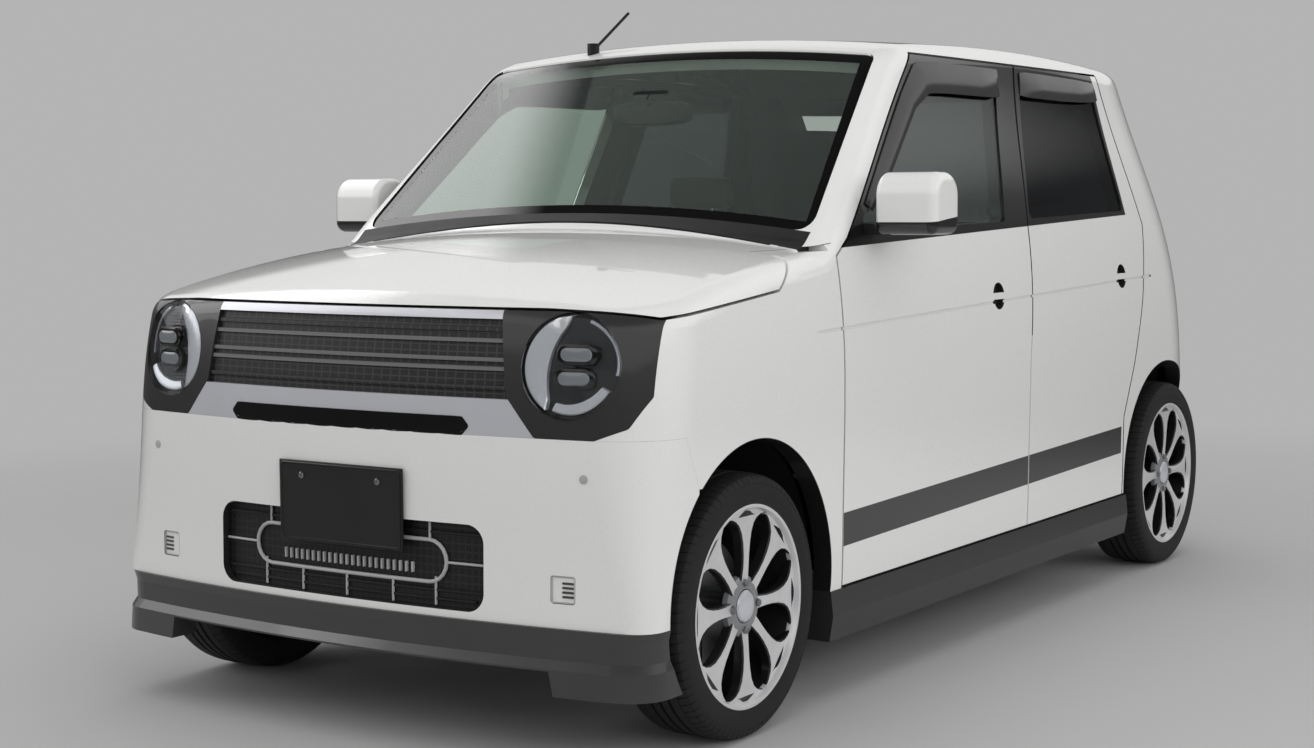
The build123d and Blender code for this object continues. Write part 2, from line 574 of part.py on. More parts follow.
# ---- front lip -------------------------------------------------------------------------
LIP_BOTTOM = 200
LIP_WING_BOTTOM = 150
LIP_CORNER_R = 90
LIP_GAP = [(-560, 0), (560, 0), (520, LIP_BOTTOM), (-520, LIP_BOTTOM)]
LIP_SECTIONS = [            # height, side tuck, reach in front of the bumper
    (LIP_WING_BOTTOM, 2, LIP_REACH), (LIP_BOTTOM + 4, 8, LIP_REACH), (LIP_BOTTOM + 22, 14, 4),
    (BUMPER_BOTTOM - 22, 12, 3), (BUMPER_BOTTOM - SEAM, 6, 7),
]
with BuildPart() as lip:
    loft(sections=[plan_outline(z, tuck, -reach, 0, LIP_CORNER_R, 280, 0) for z, tuck, reach in LIP_SECTIONS], ruled=True)
    add(block(-FAR, FAR, NOSE - 100, FRONT_AXLE - 250, 0, 400), mode=Mode.INTERSECT)
    with BuildSketch(Plane.XY.offset(LIP_WING_BOTTOM - 10)):
        add(plan_outline(0, 5, 5, 0, LIP_CORNER_R, 280, 50))
    extrude(amount=200, mode=Mode.SUBTRACT)
    add(cross_cylinder(arch_centres[0], ARCH_Z, ARCH_R, -FAR, FAR), mode=Mode.SUBTRACT)
    add(front_prism(LIP_GAP, NOSE - 100, FRONT_AXLE), mode=Mode.SUBTRACT)
save("front_lip", lip.part)

# ---- side skirts -----------------------------------------------------------------------
with BuildPart() as skirts:
    with BuildSketch(Plane.XZ.offset(-(FRONT_AXLE + 352))):
        Polygon((640, SKIRT_BOTTOM), (728, SKIRT_BOTTOM), (WIDTH / 2, 200), (WIDTH / 2 - 6, DOOR_BOTTOM - GAP),
                (640, DOOR_BOTTOM - GAP), align=None)
    extrude(amount=-(WHEELBASE - 352 - 352))
    add(LINED, mode=Mode.SUBTRACT)
    mirror(about=Plane.YZ)
save("side_skirts", skirts.part)

# ---- rear bumper -----------------------------------------------------------------------
REAR_BUMPER = [
    (TAIL + 100, BUMPER_TOP - SEAM), (TAIL + 100, 210), (REAR_AXLE + 250, 210), (REAR_AXLE, 552), (REAR_AXLE, BUMPER_TOP - SEAM),
]
with BuildPart() as rear_bumper:
    add(OUTER)
    add(side_prism(REAR_BUMPER, -FAR, FAR), mode=Mode.INTERSECT)
    add(LINED, mode=Mode.SUBTRACT)
    add(cross_cylinder(arch_centres[1], ARCH_Z, ARCH_R, -FAR, FAR), mode=Mode.SUBTRACT)
save("rear_bumper", rear_bumper.part)

# ---- wheels ----------------------------------------------------------------------------
def tyre_at(x, y):
    """Tyre with rounded shoulders, lying on its axle line."""
    with BuildPart() as tyre:
        with BuildSketch(Plane.XY) as section:
            with Locations((0, (TYRE_R + RIM_R) / 2)):
                Rectangle(TYRE_W, TYRE_R - RIM_R)
            fillet(section.vertices().group_by(Axis.Y)[-1], 26)
            fillet(section.vertices().group_by(Axis.Y)[0], 10)
        revolve(axis=Axis.X)
    return tyre.part.moved(Location((x, y, AXLE_Z)))


def rim_at(x, y, sign):
    """Eight-spoke rim; its face is outboard."""
    with BuildPart() as rim:
        with BuildSketch(Plane.XY):
            with Locations((0, RIM_R - SEAM - RIM_WALL / 2)):
                Rectangle(RIM_W, RIM_WALL)
        revolve(axis=Axis.X)
        with BuildSketch(Plane.YZ.offset(sign * (RIM_W / 2 - 32))):
            Circle(66)
            with PolarLocations(0, SPOKES):
                Polygon((40, -15), (110, -12), (RIM_R - 6, -34), (RIM_R - 6, 34), (110, 12), (40, 15), align=None)
            Circle(HUB_R, mode=Mode.SUBTRACT)
        extrude(amount=sign * 26)
    return rim.part.moved(Location((x, y, AXLE_Z)))


for end, axle in (("front", FRONT_AXLE), ("rear", REAR_AXLE)):
    for side, sign in SIDES:
        save(f"tyre_{end}_{side}", tyre_at(sign * TRACK / 2, axle))
        save(f"rim_{end}_{side}", rim_at(sign * TRACK / 2, axle, sign))

# ---- knuckles --------------------------------------------------------------------------
BALL_Z = 144
BALL_R = 9
DISC_R = 130
for side, sign in SIDES:
    with BuildPart() as knuckle:
        with BuildSketch(Plane.YZ.offset(sign * (TRACK / 2 - 48))):
            with Locations((FRONT_AXLE, AXLE_Z)):
                Circle(DISC_R)
        extrude(amount=sign * 20)
        add(cross_cylinder(FRONT_AXLE, AXLE_Z, HUB_R - RUNNING, sign * (TRACK / 2 - 50), sign * (TRACK / 2 + 66)))
        add(cross_cylinder(FRONT_AXLE, AXLE_Z, 48, sign * (TRACK / 2 - 90), sign * (TRACK / 2 - 40)))
        with Locations((sign * KINGPIN_X, FRONT_AXLE, BALL_Z + 62)):
            Box(30, 46, 110)
        with Locations((sign * (TRACK / 2 - 38), FRONT_AXLE + 112, AXLE_Z)):
            Box(48, 56, 96)
        with BuildSketch(Plane.XY.offset(BALL_Z - 16)):
            with Locations((sign * KINGPIN_X, FRONT_AXLE)):
                Circle(BALL_R)
        extrude(amount=60)
    save(f"knuckle_{side}", knuckle.part)

# ---- front subframe and lower arms --------------------------------------------------------
RAIL_X = 360
RAIL_Z = 330
with BuildPart() as subframe:
    add(block(-300, 300, FRONT_AXLE + 60, FRONT_AXLE + 200, 150, 190))
    for side, sign in SIDES:
        with BuildSketch(Plane.XY.offset(BALL_Z - 12)):
            Polygon((sign * 280, FRONT_AXLE + 70), (sign * 280, FRONT_AXLE + 190), (sign * 330, FRONT_AXLE + 180),
                    (sign * (KINGPIN_X + 24), FRONT_AXLE + 18), (sign * (KINGPIN_X + 24), FRONT_AXLE - 18),
                    (sign * (KINGPIN_X - 40), FRONT_AXLE - 18), align=None)
        extrude(amount=14)
        with Locations((sign * RAIL_X - sign * 40, FRONT_AXLE + 160, (190 + RAIL_Z) / 2 - 10)):
            Box(50, 50, RAIL_Z - SEAM - 170)
        with Locations((sign * KINGPIN_X, FRONT_AXLE, BALL_Z)):
            Cylinder(BALL_R + RUNNING, 80, mode=Mode.SUBTRACT)
save("front_subframe", subframe.part)

# ---- floor pan, front rails and inner wheelhouses -----------------------------------------
BAY_X = 415
REAR_WELL_X = 540
FLOOR_HALF = 600 - SEAM
with BuildPart() as floor:
    add(block(-FLOOR_HALF, FLOOR_HALF, FLOOR_FRONT, FLOOR_REAR, FLOOR_Z, FLOOR_Z + FLOOR_THICK))
    add(block(-FLOOR_HALF, FLOOR_HALF, FLOOR_REAR - 25, FLOOR_REAR, FLOOR_Z, LUGGAGE_Z))
    add(block(-REAR_WELL_X + 6, REAR_WELL_X - 6, FLOOR_REAR - 25, TAIL - 110, LUGGAGE_Z - 25, LUGGAGE_Z))
    for sign in (1, -1):
        for x_from, x_to, y_from, y_to, z_from, z_to in (
            (RAIL_X - 30, RAIL_X + 30, NOSE + 80, FLOOR_FRONT + 10, RAIL_Z, RAIL_Z + 90),
            (RAIL_X + 20, BAY_X, FRONT_AXLE - 330, FLOOR_FRONT - SEAM, RAIL_Z, 640),
            (REAR_WELL_X - 12, REAR_WELL_X, FLOOR_REAR - 25, TAIL - 110, LUGGAGE_Z - 60, BUMPER_TOP - SEAM),
        ):
            add(block(min(sign * x_from, sign * x_to), max(sign * x_from, sign * x_to), y_from, y_to, z_from, z_to))
    add(block(-RAIL_X, RAIL_X, NOSE + 80, NOSE + 120, RAIL_Z, RAIL_Z + 90))
    for x in (-300, 300):
        add(block(x - 15, x + 15, NOSE + 90, NOSE + 120, RAIL_Z, HEIGHT) & FRAME_OUTER)
    add(block(-FLOOR_HALF, FLOOR_HALF, FLOOR_FRONT, FLOOR_FRONT + 20, FLOOR_Z, 420))
    add(FRAME_LINED, mode=Mode.INTERSECT)
save("floor_pan", floor.part)

# ---- bulkhead and cowl ---------------------------------------------------------------------
cowl_side_y = BONNET_REAR_SIDE_Y + GAP + 6
with BuildPart() as cowl:
    add(OUTER)
    with BuildSketch(Plane.XY.offset(LAMP_BOTTOM)):
        with BuildLine():
            ThreePointArc((-COWL_HALF, cowl_side_y), (0, BONNET_REAR_Y + GAP), (COWL_HALF, cowl_side_y))
            Polyline((COWL_HALF, cowl_side_y), (COWL_HALF, GLASS_FOOT_Y - SEAM), (-COWL_HALF, GLASS_FOOT_Y - SEAM),
                     (-COWL_HALF, cowl_side_y))
        make_face()
    extrude(amount=HEIGHT, mode=Mode.INTERSECT)
    add(LINED, mode=Mode.SUBTRACT)
    add(side_prism(FRONT_DOOR, -FAR, FAR, grow=GAP), mode=Mode.SUBTRACT)
    add(block(-598, 598, FLOOR_FRONT, FLOOR_FRONT + 20, 420 + SEAM, HEIGHT) & OUTER)
save("cowl_bulkhead", cowl.part)

# ---- wheel liners --------------------------------------------------------------------------
with BuildPart() as liners:
    for centre, x_inner in ((arch_centres[0], BAY_X + SEAM), (arch_centres[1], REAR_WELL_X + SEAM)):
        with BuildSketch(Plane.YZ.offset(x_inner)):
            with Locations((centre, ARCH_Z)):
                Circle(LINER_R + LINER)
                Circle(LINER_R, mode=Mode.SUBTRACT)
                with Locations((0, -LINER_R / 2 - 10)):
                    Rectangle(3 * LINER_R, LINER_R + 60, mode=Mode.SUBTRACT)
        extrude(amount=WIDTH / 2 - x_inner)
    add(FRAME_LINED, mode=Mode.INTERSECT)
    mirror(about=Plane.YZ)
save("wheel_liners", liners.part)

# ---- rear axle -----------------------------------------------------------------------------
with BuildPart() as rear_axle_beam:
    add(cross_cylinder(REAR_AXLE - 140, 250, 32, -520, 520))
    for sign in (1, -1):
        arm = block(470, 510, FLOOR_REAR + SEAM, REAR_AXLE + 40, 225, 285)
        add(arm if sign > 0 else arm.mirror(Plane.YZ))
        add(cross_cylinder(REAR_AXLE, AXLE_Z, 45, sign * 470, sign * 590))
        add(cross_cylinder(REAR_AXLE, AXLE_Z, 110, sign * 566, sign * 612))
        add(cross_cylinder(REAR_AXLE, AXLE_Z, HUB_R - RUNNING, sign * 560, sign * (TRACK / 2 + 66)))
save("rear_axle_beam", rear_axle_beam.part)

# ---- engine, radiator, tank, exhaust ---------------------------------------------------------
with BuildPart() as engine:
    add(block(-285, 285, FRONT_AXLE - 210, FRONT_AXLE + 200, 190 + SEAM, 680))
    chamfer(engine.edges().filter_by(Axis.Z), 30)
save("engine_block", engine.part)

with BuildPart() as tank:
    add(block(-300, 300, -330, 260, SKIRT_BOTTOM + 4, FLOOR_Z - SEAM))
    fillet(tank.edges().filter_by(Axis.Z), 50)
save("fuel_tank", tank.part)

PIPE_R = 18
PIPE_Z = FLOOR_Z - SEAM - PIPE_R
with BuildPart() as exhaust:
    with BuildLine() as pipe_run:
        FilletPolyline((340, FRONT_AXLE + 230, PIPE_Z), (340, REAR_AXLE + 40, PIPE_Z), (240, REAR_AXLE + 180, PIPE_Z + 80),
                       (240, REAR_AXLE + 200, PIPE_Z + 80), radius=40)
    with BuildSketch(Plane(origin=(340, FRONT_AXLE + 230, PIPE_Z), z_dir=(0, 1, 0))):
        Circle(PIPE_R)
    sweep()
    add(block(-120, 330, REAR_AXLE + 190, REAR_AXLE + 330, 190, 330))
    add(block(0, 20, REAR_AXLE + 240, REAR_AXLE + 260, 320, LUGGAGE_Z - 25 - SEAM))
save("exhaust", exhaust.part)

# ---- dashboard and steering wheel -------------------------------------------------------------
DRIVER_X = -330
STEER_CENTRE = Vector(DRIVER_X, FRONT_AXLE + 800, 930)
STEER_AXIS = Vector(0, 0.89, 0.454).normalized()
WHEEL_R = 178
with BuildPart() as dashboard:
    with BuildSketch(Plane.YZ.offset(-590)):
        Polygon((FLOOR_FRONT + 20 + SEAM, 640), (FLOOR_FRONT + 20 + SEAM, 985), (FLOOR_FRONT + 120, 1010),
                (FLOOR_FRONT + 250, 990), (FLOOR_FRONT + 300, 900), (FLOOR_FRONT + 260, 700), (FLOOR_FRONT + 150, 600),
                align=None)
    extrude(amount=2 * 590)
    with BuildSketch(Plane(origin=STEER_CENTRE - STEER_AXIS * 30, z_dir=-STEER_AXIS)):
        Circle(34)
    extrude(amount=160)
save("dashboard", dashboard.part)

with BuildPart() as steering_wheel:
    wheel_plane = Plane(origin=STEER_CENTRE, x_dir=(1, 0, 0), z_dir=STEER_AXIS)
    with BuildSketch(Plane(origin=STEER_CENTRE, x_dir=(1, 0, 0), z_dir=wheel_plane.y_dir)):
        with Locations((WHEEL_R, 0)):
            Circle(15)
    revolve(axis=Axis(STEER_CENTRE, STEER_AXIS))
    with BuildSketch(wheel_plane.offset(-30 + RUNNING)):
        Circle(52)
        Rectangle(2 * WHEEL_R, 46)
        with Locations((0, -WHEEL_R / 2)):
            Rectangle(46, WHEEL_R)
    extrude(amount=28)
save("steering_wheel", steering_wheel.part)

# ---- seats -------------------------------------------------------------------------------------
SEAT_X = 330
FLOOR_TOP = FLOOR_Z + FLOOR_THICK


def seat(x, y, half, cushion_top, back_top, base_bottom, head_width):
    """Cushion, reclined back and head restraint on a base."""
    with BuildPart() as part:
        with BuildSketch(Plane.YZ.offset(x - half)):
            Polygon((y, base_bottom), (y, cushion_top), (y + 400, cushion_top - 40), (y + 540, back_top), (y + 640, back_top),
                    (y + 520, cushion_top - 120), (y + 500, base_bottom), align=None)
        extrude(amount=2 * half)
        with BuildSketch(Plane.YZ.offset(x - head_width / 2)):
            Polygon((y + 560, back_top - 5), (y + 570, back_top + 130), (y + 650, back_top + 130), (y + 630, back_top - 5),
                    align=None)
        extrude(amount=head_width)
    return part.part


with BuildPart() as front_seats:
    for side, sign in SIDES:
        add(seat(sign * SEAT_X, FRONT_AXLE + 900, 240, 560, 1080, FLOOR_TOP + SEAM, 240))
save("front_seats", front_seats.part)
with BuildPart() as rear_seat:
    with BuildSketch(Plane.YZ.offset(-525)):
        Polygon((REAR_AXLE - 860, LUGGAGE_Z), (REAR_AXLE - 860, 560), (REAR_AXLE - 440, 530), (REAR_AXLE - 300, 1030),
                (REAR_AXLE - 190, 1030), (REAR_AXLE - 320, LUGGAGE_Z + SEAM), (FLOOR_REAR - 25 - SEAM, LUGGAGE_Z + SEAM),
                (FLOOR_REAR - 25 - SEAM, FLOOR_TOP + SEAM), (REAR_AXLE - 440, FLOOR_TOP + SEAM),
                (REAR_AXLE - 440, LUGGAGE_Z), align=None)
    extrude(amount=2 * 525)
save("rear_seat", rear_seat.part)

# ---- antenna and wipers --------------------------------------------------------------------------
ANTENNA = Vector(-290, FRONT_AXLE + 905, HEIGHT - 30)
with BuildPart() as antenna:
    with BuildSketch(Plane(origin=ANTENNA, z_dir=(0, 0.84, 0.55))):
        Circle(4)
    extrude(amount=200)
    with Locations(ANTENNA):
        Cylinder(16, 36)
    add(OUTER.moved(Location((0, 0, SEAM))), mode=Mode.SUBTRACT)
save("roof_antenna", antenna.part)
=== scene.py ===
import json
import math
import bpy
import bmesh
from mathutils import Vector, Matrix
from mathutils.bvhtree import BVHTree


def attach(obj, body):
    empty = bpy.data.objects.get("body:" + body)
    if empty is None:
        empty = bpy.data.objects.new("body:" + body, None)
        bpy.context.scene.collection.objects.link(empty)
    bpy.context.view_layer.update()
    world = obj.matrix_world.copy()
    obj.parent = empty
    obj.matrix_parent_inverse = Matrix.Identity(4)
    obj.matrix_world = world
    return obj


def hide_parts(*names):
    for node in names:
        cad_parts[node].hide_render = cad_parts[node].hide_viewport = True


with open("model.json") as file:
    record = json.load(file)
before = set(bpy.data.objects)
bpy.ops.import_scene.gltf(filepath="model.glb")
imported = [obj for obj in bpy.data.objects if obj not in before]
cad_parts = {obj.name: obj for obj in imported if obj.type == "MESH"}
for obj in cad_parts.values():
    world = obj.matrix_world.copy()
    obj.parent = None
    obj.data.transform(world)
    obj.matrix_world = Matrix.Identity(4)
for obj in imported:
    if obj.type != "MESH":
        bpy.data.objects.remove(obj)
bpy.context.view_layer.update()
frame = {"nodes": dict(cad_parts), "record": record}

nodes = frame["nodes"]
frontAxle = -1.2375
rearAxle = 1.2825
axleHeight = 0.281
halfTrack = 0.6525
sides = (("left", 1), ("right", -1))


# shader helpers

def srgb(hexText):
    channels = [int(hexText[i:i + 2], 16) / 255 for i in (1, 3, 5)]
    return tuple(c / 12.92 if c <= 0.04045 else ((c + 0.055) / 1.055) ** 2.4 for c in channels) + (1.0,)


def addNode(tree, kind, inputs=None, **settings):
    # inputs: socket name or index -> a value, or an output socket to link
    node = tree.nodes.new(kind)
    for key, value in settings.items():
        setattr(node, key, value)
    for key, value in (inputs or {}).items():
        if isinstance(value, bpy.types.NodeSocket):
            tree.links.new(value, node.inputs[key])
        else:
            node.inputs[key].default_value = value
    return node


def newMaterial(name):
    material = bpy.data.materials.new(name)
    material.use_nodes = True
    tree = material.node_tree
    tree.nodes.clear()
    output = tree.nodes.new("ShaderNodeOutputMaterial")
    shader = tree.nodes.new("ShaderNodeBsdfPrincipled")
    tree.links.new(shader.outputs[0], output.inputs[0])
    return material, tree, shader


def setShader(shader, **values):
    names = {"color": "Base Color", "rough": "Roughness", "metal": "Metallic", "ior": "IOR",
             "coat": "Coat Weight", "coatRough": "Coat Roughness", "transmission": "Transmission Weight",
             "sheen": "Sheen Weight", "sheenRough": "Sheen Roughness"}
    for key, value in values.items():
        shader.inputs[names[key]].default_value = value


def link(tree, socket, shader, name):
    tree.links.new(socket, shader.inputs[name])


def addBump(tree, shader, height, strength, distance):
    bump = addNode(tree, "ShaderNodeBump", {"Height": height, "Strength": strength, "Distance": distance})
    link(tree, bump.outputs[0], shader, "Normal")


def calc(tree, operation, first, second=0.0, third=0.0):
    return addNode(tree, "ShaderNodeMath", {0: first, 1: second, 2: third}, operation=operation).outputs[0]


def inside(tree, along, up, corners):
    # 1 inside a convex outline given anticlockwise as (along, up)
    result = None
    for (a0, u0), (a1, u1) in zip(corners, corners[1:] + corners[:1]):
        nx, nz = -(u1 - u0), a1 - a0
        length = math.hypot(nx, nz)
        nx, nz = nx / length, nz / length
        dist = calc(tree, "MULTIPLY_ADD", up, nz, -(a0 * nx + u0 * nz))
        dist = calc(tree, "MULTIPLY_ADD", along, nx, dist)
        side = calc(tree, "GREATER_THAN", dist, 0.0)
        result = side if result is None else calc(tree, "MULTIPLY", result, side)
    return result


def reachOf(tree, first, second):
    # distance from a middle, given the two offsets from it
    squares = calc(tree, "ADD", calc(tree, "MULTIPLY", first, first), calc(tree, "MULTIPLY", second, second))
    return calc(tree, "SQRT", squares)


def within(tree, value, low, high):
    over = calc(tree, "GREATER_THAN", value, low)
    return calc(tree, "MULTIPLY", over, calc(tree, "LESS_THAN", value, high))


def coordsOf(tree):
    # object-space place and normal, split into their parts
    source = addNode(tree, "ShaderNodeTexCoord")
    place = addNode(tree, "ShaderNodeSeparateXYZ", {0: source.outputs["Object"]})
    facing = addNode(tree, "ShaderNodeSeparateXYZ", {0: source.outputs["Normal"]})
    return source.outputs["Object"], place.outputs, facing.outputs


def noiseOf(tree, coords, size, detail=2.0):
    values = {"Vector": coords, "Scale": 1 / size, "Detail": detail}
    return addNode(tree, "ShaderNodeTexNoise", values).outputs[0]


def mixColor(tree, factor, first, second):
    node = addNode(tree, "ShaderNodeMix", {0: factor}, data_type="RGBA")
    for socket, value in ((node.inputs[6], first), (node.inputs[7], second)):
        if isinstance(value, bpy.types.NodeSocket):
            tree.links.new(value, socket)
        else:
            socket.default_value = value
    return node.outputs[2]


def mixValue(tree, factor, first, second):
    kept = calc(tree, "MULTIPLY", first, calc(tree, "SUBTRACT", 1.0, factor))
    return calc(tree, "ADD", kept, calc(tree, "MULTIPLY", factor, second))


# materials

def moulded(name, color, rough, metal=0.0, coat=0.0, grain=0.0, grainSize=0.0012, vary=0.06, tint=0.12):
    # plastic, rubber or coated metal: fine grain, with soft changes of colour and gloss
    material, tree, shader = newMaterial(name)
    setShader(shader, rough=rough, metal=metal, coat=coat, coatRough=0.05)
    coords = coordsOf(tree)[0]
    patches = noiseOf(tree, coords, 0.12, 3.0)
    base = srgb(color)
    low = tuple(c * (1 - tint) for c in base[:3]) + (1.0,)
    high = tuple(min(1.0, c * (1 + tint)) for c in base[:3]) + (1.0,)
    link(tree, mixColor(tree, patches, low, high), shader, "Base Color")
    link(tree, calc(tree, "MULTIPLY_ADD", patches, 2 * vary, rough - vary), shader, "Roughness")
    if grain:
        addBump(tree, shader, noiseOf(tree, coords, grainSize), 0.6, grain)
    return material


def paintMaterial(name, masks):
    # pearl paint: fine flake under a clear coat; masks(tree, place, facing) gives [(mask, colour, roughness)]
    material, tree, shader = newMaterial(name)
    setShader(shader, coat=0.9, coatRough=0.03, ior=1.5)
    coords, place, facing = coordsOf(tree)
    flake = noiseOf(tree, coords, 0.0011, 1.0)
    color = mixColor(tree, flake, srgb("#DDDDDB"), srgb("#E9E9E7"))
    rough = calc(tree, "MULTIPLY_ADD", flake, 0.08, 0.24)
    for mask, shade, shadeRough in masks(tree, place, facing):
        color = mixColor(tree, mask, color, srgb(shade))
        rough = mixValue(tree, mask, rough, shadeRough)
    link(tree, color, shader, "Base Color")
    link(tree, rough, shader, "Roughness")
    return material


# outlines are (y, z), anticlockwise as seen from the car's left
paintValues = {
    "arches": (-1.2125, 1.2425), "archHeight": 0.301, "archRadius": 0.3312,
    "windowSurround": [(-0.752, 1.027), (0.980, 1.078), (0.915, 1.476), (-0.240, 1.466)],
    "doorSurround": [(-0.800, 1.020), (0.980, 1.078), (0.905, 1.520), (-0.300, 1.520)],
    "stripe": [(-0.832, 0.350), (0.884, 0.384), (0.884, 0.462), (-0.832, 0.426)], "stripeFrom": 0.71,
    "handles": [(0.0145, 0.879), (0.8825, 0.901)], "cupRadius": 0.0346, "barHalf": 0.0084,
    "mirrorBase": 1.146, "mirrorSlope": -0.10,
}


def hiddenSides(tree, place, facing):
    # the linings: faces that look towards the middle of the car
    across = calc(tree, "MULTIPLY", calc(tree, "MULTIPLY", place[0], 2.0), facing[0])
    along = calc(tree, "MULTIPLY", place[1], facing[1])
    up = calc(tree, "MULTIPLY", calc(tree, "MULTIPLY_ADD", place[2], 0.5, -0.4), facing[2])
    total = calc(tree, "ADD", across, calc(tree, "ADD", along, up))
    return calc(tree, "LESS_THAN", total, -0.22)


def archEdges(tree, place, facing):
    result = None
    for centre in paintValues["arches"]:
        dy = calc(tree, "SUBTRACT", place[1], centre)
        dz = calc(tree, "SUBTRACT", place[2], paintValues["archHeight"])
        reach = reachOf(tree, dy, dz)
        near = calc(tree, "LESS_THAN", reach, paintValues["archRadius"])
        result = near if result is None else calc(tree, "MAXIMUM", result, near)
    return result


def panelMasks(tree, place, facing):
    lining = hiddenSides(tree, place, facing)
    return [(lining, "#202021", 0.65), (archEdges(tree, place, facing), "#0D0D0E", 0.6)]


def sideMasks(tree, place, facing):
    surround = inside(tree, place[1], place[2], paintValues["windowSurround"])
    band = inside(tree, place[1], place[2], paintValues["stripe"])
    band = calc(tree, "MULTIPLY", band, calc(tree, "GREATER_THAN", calc(tree, "ABSOLUTE", facing[0]), 0.5))
    outer = calc(tree, "GREATER_THAN", calc(tree, "ABSOLUTE", place[0]), paintValues["stripeFrom"])
    band = calc(tree, "MULTIPLY", band, outer)
    return [(surround, "#0C0C0D", 0.3), (band, "#1E1E20", 0.45)] + panelMasks(tree, place, facing)


def doorMasks(tree, place, facing):
    # the window frames are black out to the shut lines; the handle cups are dark behind their bars
    surround = inside(tree, place[1], place[2], paintValues["doorSurround"])
    masks = [(surround, "#0C0C0D", 0.3)] + sideMasks(tree, place, facing)
    for handleY, handleZ in paintValues["handles"]:
        dy = calc(tree, "SUBTRACT", place[1], handleY)
        dz = calc(tree, "SUBTRACT", place[2], handleZ)
        reach = reachOf(tree, dy, dz)
        cup = calc(tree, "LESS_THAN", reach, paintValues["cupRadius"])
        off = calc(tree, "GREATER_THAN", calc(tree, "ABSOLUTE", dz), paintValues["barHalf"])
        masks.append((calc(tree, "MULTIPLY", cup, off), "#2A2A2B", 0.45))
    return masks


def mirrorMasks(tree, place, facing):
    slanted = calc(tree, "MULTIPLY_ADD", place[1], paintValues["mirrorSlope"], place[2])
    return [(calc(tree, "LESS_THAN", slanted, paintValues["mirrorBase"]), "#101011", 0.5)]


paint = paintMaterial("pearl paint", panelMasks)
sidePaint = paintMaterial("pearl paint, black window surround and dark side stripe", sideMasks)
doorPaint = paintMaterial("pearl paint on the doors", doorMasks)
mirrorPaint = paintMaterial("pearl mirror cap on a black base", mirrorMasks)

# dull leathery black, then a deep black that mirrors its surroundings
blackPlastic = moulded("black grained plastic", "#121213", 0.5, grain=0.0003)
glossBlack = moulded("gloss black plastic", "#0A0A0B", 0.16, coat=0.6, vary=0.02)
# satin greys of the lower body, the sills a little darker
trimGrey = moulded("dark grey painted moulding", "#383737", 0.36, coat=0.3, grain=0.00005)
skirtGrey = moulded("dark skirt moulding", "#2B2A2A", 0.42, coat=0.2, grain=0.00008)
# pale plating with a broad soft highlight, and brighter bands under the lamp cover
silverTrim = moulded("satin silver plating", "#D2D3D9", 0.3, metal=0.4, vary=0.03, tint=0.04)
chrome = moulded("satin plated reflector", "#E8E9EC", 0.24, metal=0.5, coat=0.4, vary=0.03, tint=0.03)
# clear reflection
mirrorGlass = moulded("silvered mirror glass", "#D9DCDF", 0.03, metal=1.0, vary=0.01, tint=0.02)
# flat silver grey, then turned metal with sharp highlights
hubGrey = moulded("satin grey hub paint", "#8C8D90", 0.36, metal=0.3, grain=0.00005)
steel = moulded("machined brake steel", "#8B8C8E", 0.34, metal=1.0, grain=0.0001)
# rough and nearly black, then sandy grey
chassis = moulded("black underbody coating", "#191919", 0.7, grain=0.0006, grainSize=0.004)
castMetal = moulded("cast metal", "#6B6B6A", 0.5, metal=0.7, grain=0.0004, grainSize=0.003)
# soft and hardly shiny, then fine creases with a low sheen
cabin = moulded("soft cabin plastic", "#1E1D1D", 0.6, grain=0.0004, grainSize=0.0016)
leather = moulded("black steering wheel leather", "#151515", 0.48, grain=0.0005, grainSize=0.002)
# small pale glints
boltSteel = moulded("zinc plated bolt", "#9A9B9C", 0.35, metal=1.0)
# plain and smooth, dark then light
plateBlack = moulded("blank plate", "#1B1B1C", 0.4, grain=0.00005)
gridLight = moulded("light grey grille strut", "#A9A9AB", 0.4)


def glassMaterial(name, color, rough=0.0, frit=None, ior=1.45):
    # safety glass; frit(tree, place) masks the black printed edge
    material, tree, shader = newMaterial(name)
    setShader(shader, color=srgb(color), rough=rough, ior=ior, transmission=1.0)
    coords, place = coordsOf(tree)[:2]
    if not frit:
        tinted = tuple(c * 0.93 for c in srgb(color)[:3]) + (1.0,)
        link(tree, mixColor(tree, noiseOf(tree, coords, 0.3), tinted, srgb(color)), shader, "Base Color")
    if frit:
        mask = frit(tree, place)
        link(tree, mixColor(tree, mask, srgb(color), srgb("#060606")), shader, "Base Color")
        link(tree, calc(tree, "SUBTRACT", 1.0, mask), shader, "Transmission Weight")
    return material


# the clear part inside the printed edge, as (x, y)
screenClear = [(-0.628, -0.815), (0.628, -0.815), (0.545, -0.398), (-0.545, -0.398)]


def screenFrit(tree, place):
    return calc(tree, "SUBTRACT", 1.0, inside(tree, place[0], place[1], screenClear))


screenGlass = glassMaterial("green tinted windscreen", "#D2E0D7", frit=screenFrit)
sideGlass = glassMaterial("green tinted side glass", "#D0DED6")
darkGlass = glassMaterial("privacy glass", "#4A4E52", rough=0.01)
lensClear = glassMaterial("clear lamp cover", "#F4F6F8", rough=0.03, ior=1.18)
lensGlass = moulded("grey projector lens", "#74787C", 0.14, coat=0.6, vary=0.02)


def smokedAcrylic():
    # rain visors: dark and glossy, see-through only where the glass behind is light, with a faint ripple
    material, tree, shader = newMaterial("smoked acrylic visor")
    setShader(shader, color=srgb("#4A4849"), rough=0.12, ior=1.49, transmission=0.35)
    coords = coordsOf(tree)[0]
    addBump(tree, shader, noiseOf(tree, coords, 0.15, 1.0), 0.1, 0.0005)
    patches = noiseOf(tree, coords, 0.2)
    link(tree, mixColor(tree, patches, srgb("#3C3A3B"), srgb("#525051")), shader, "Base Color")
    return material


visorSmoke = smokedAcrylic()


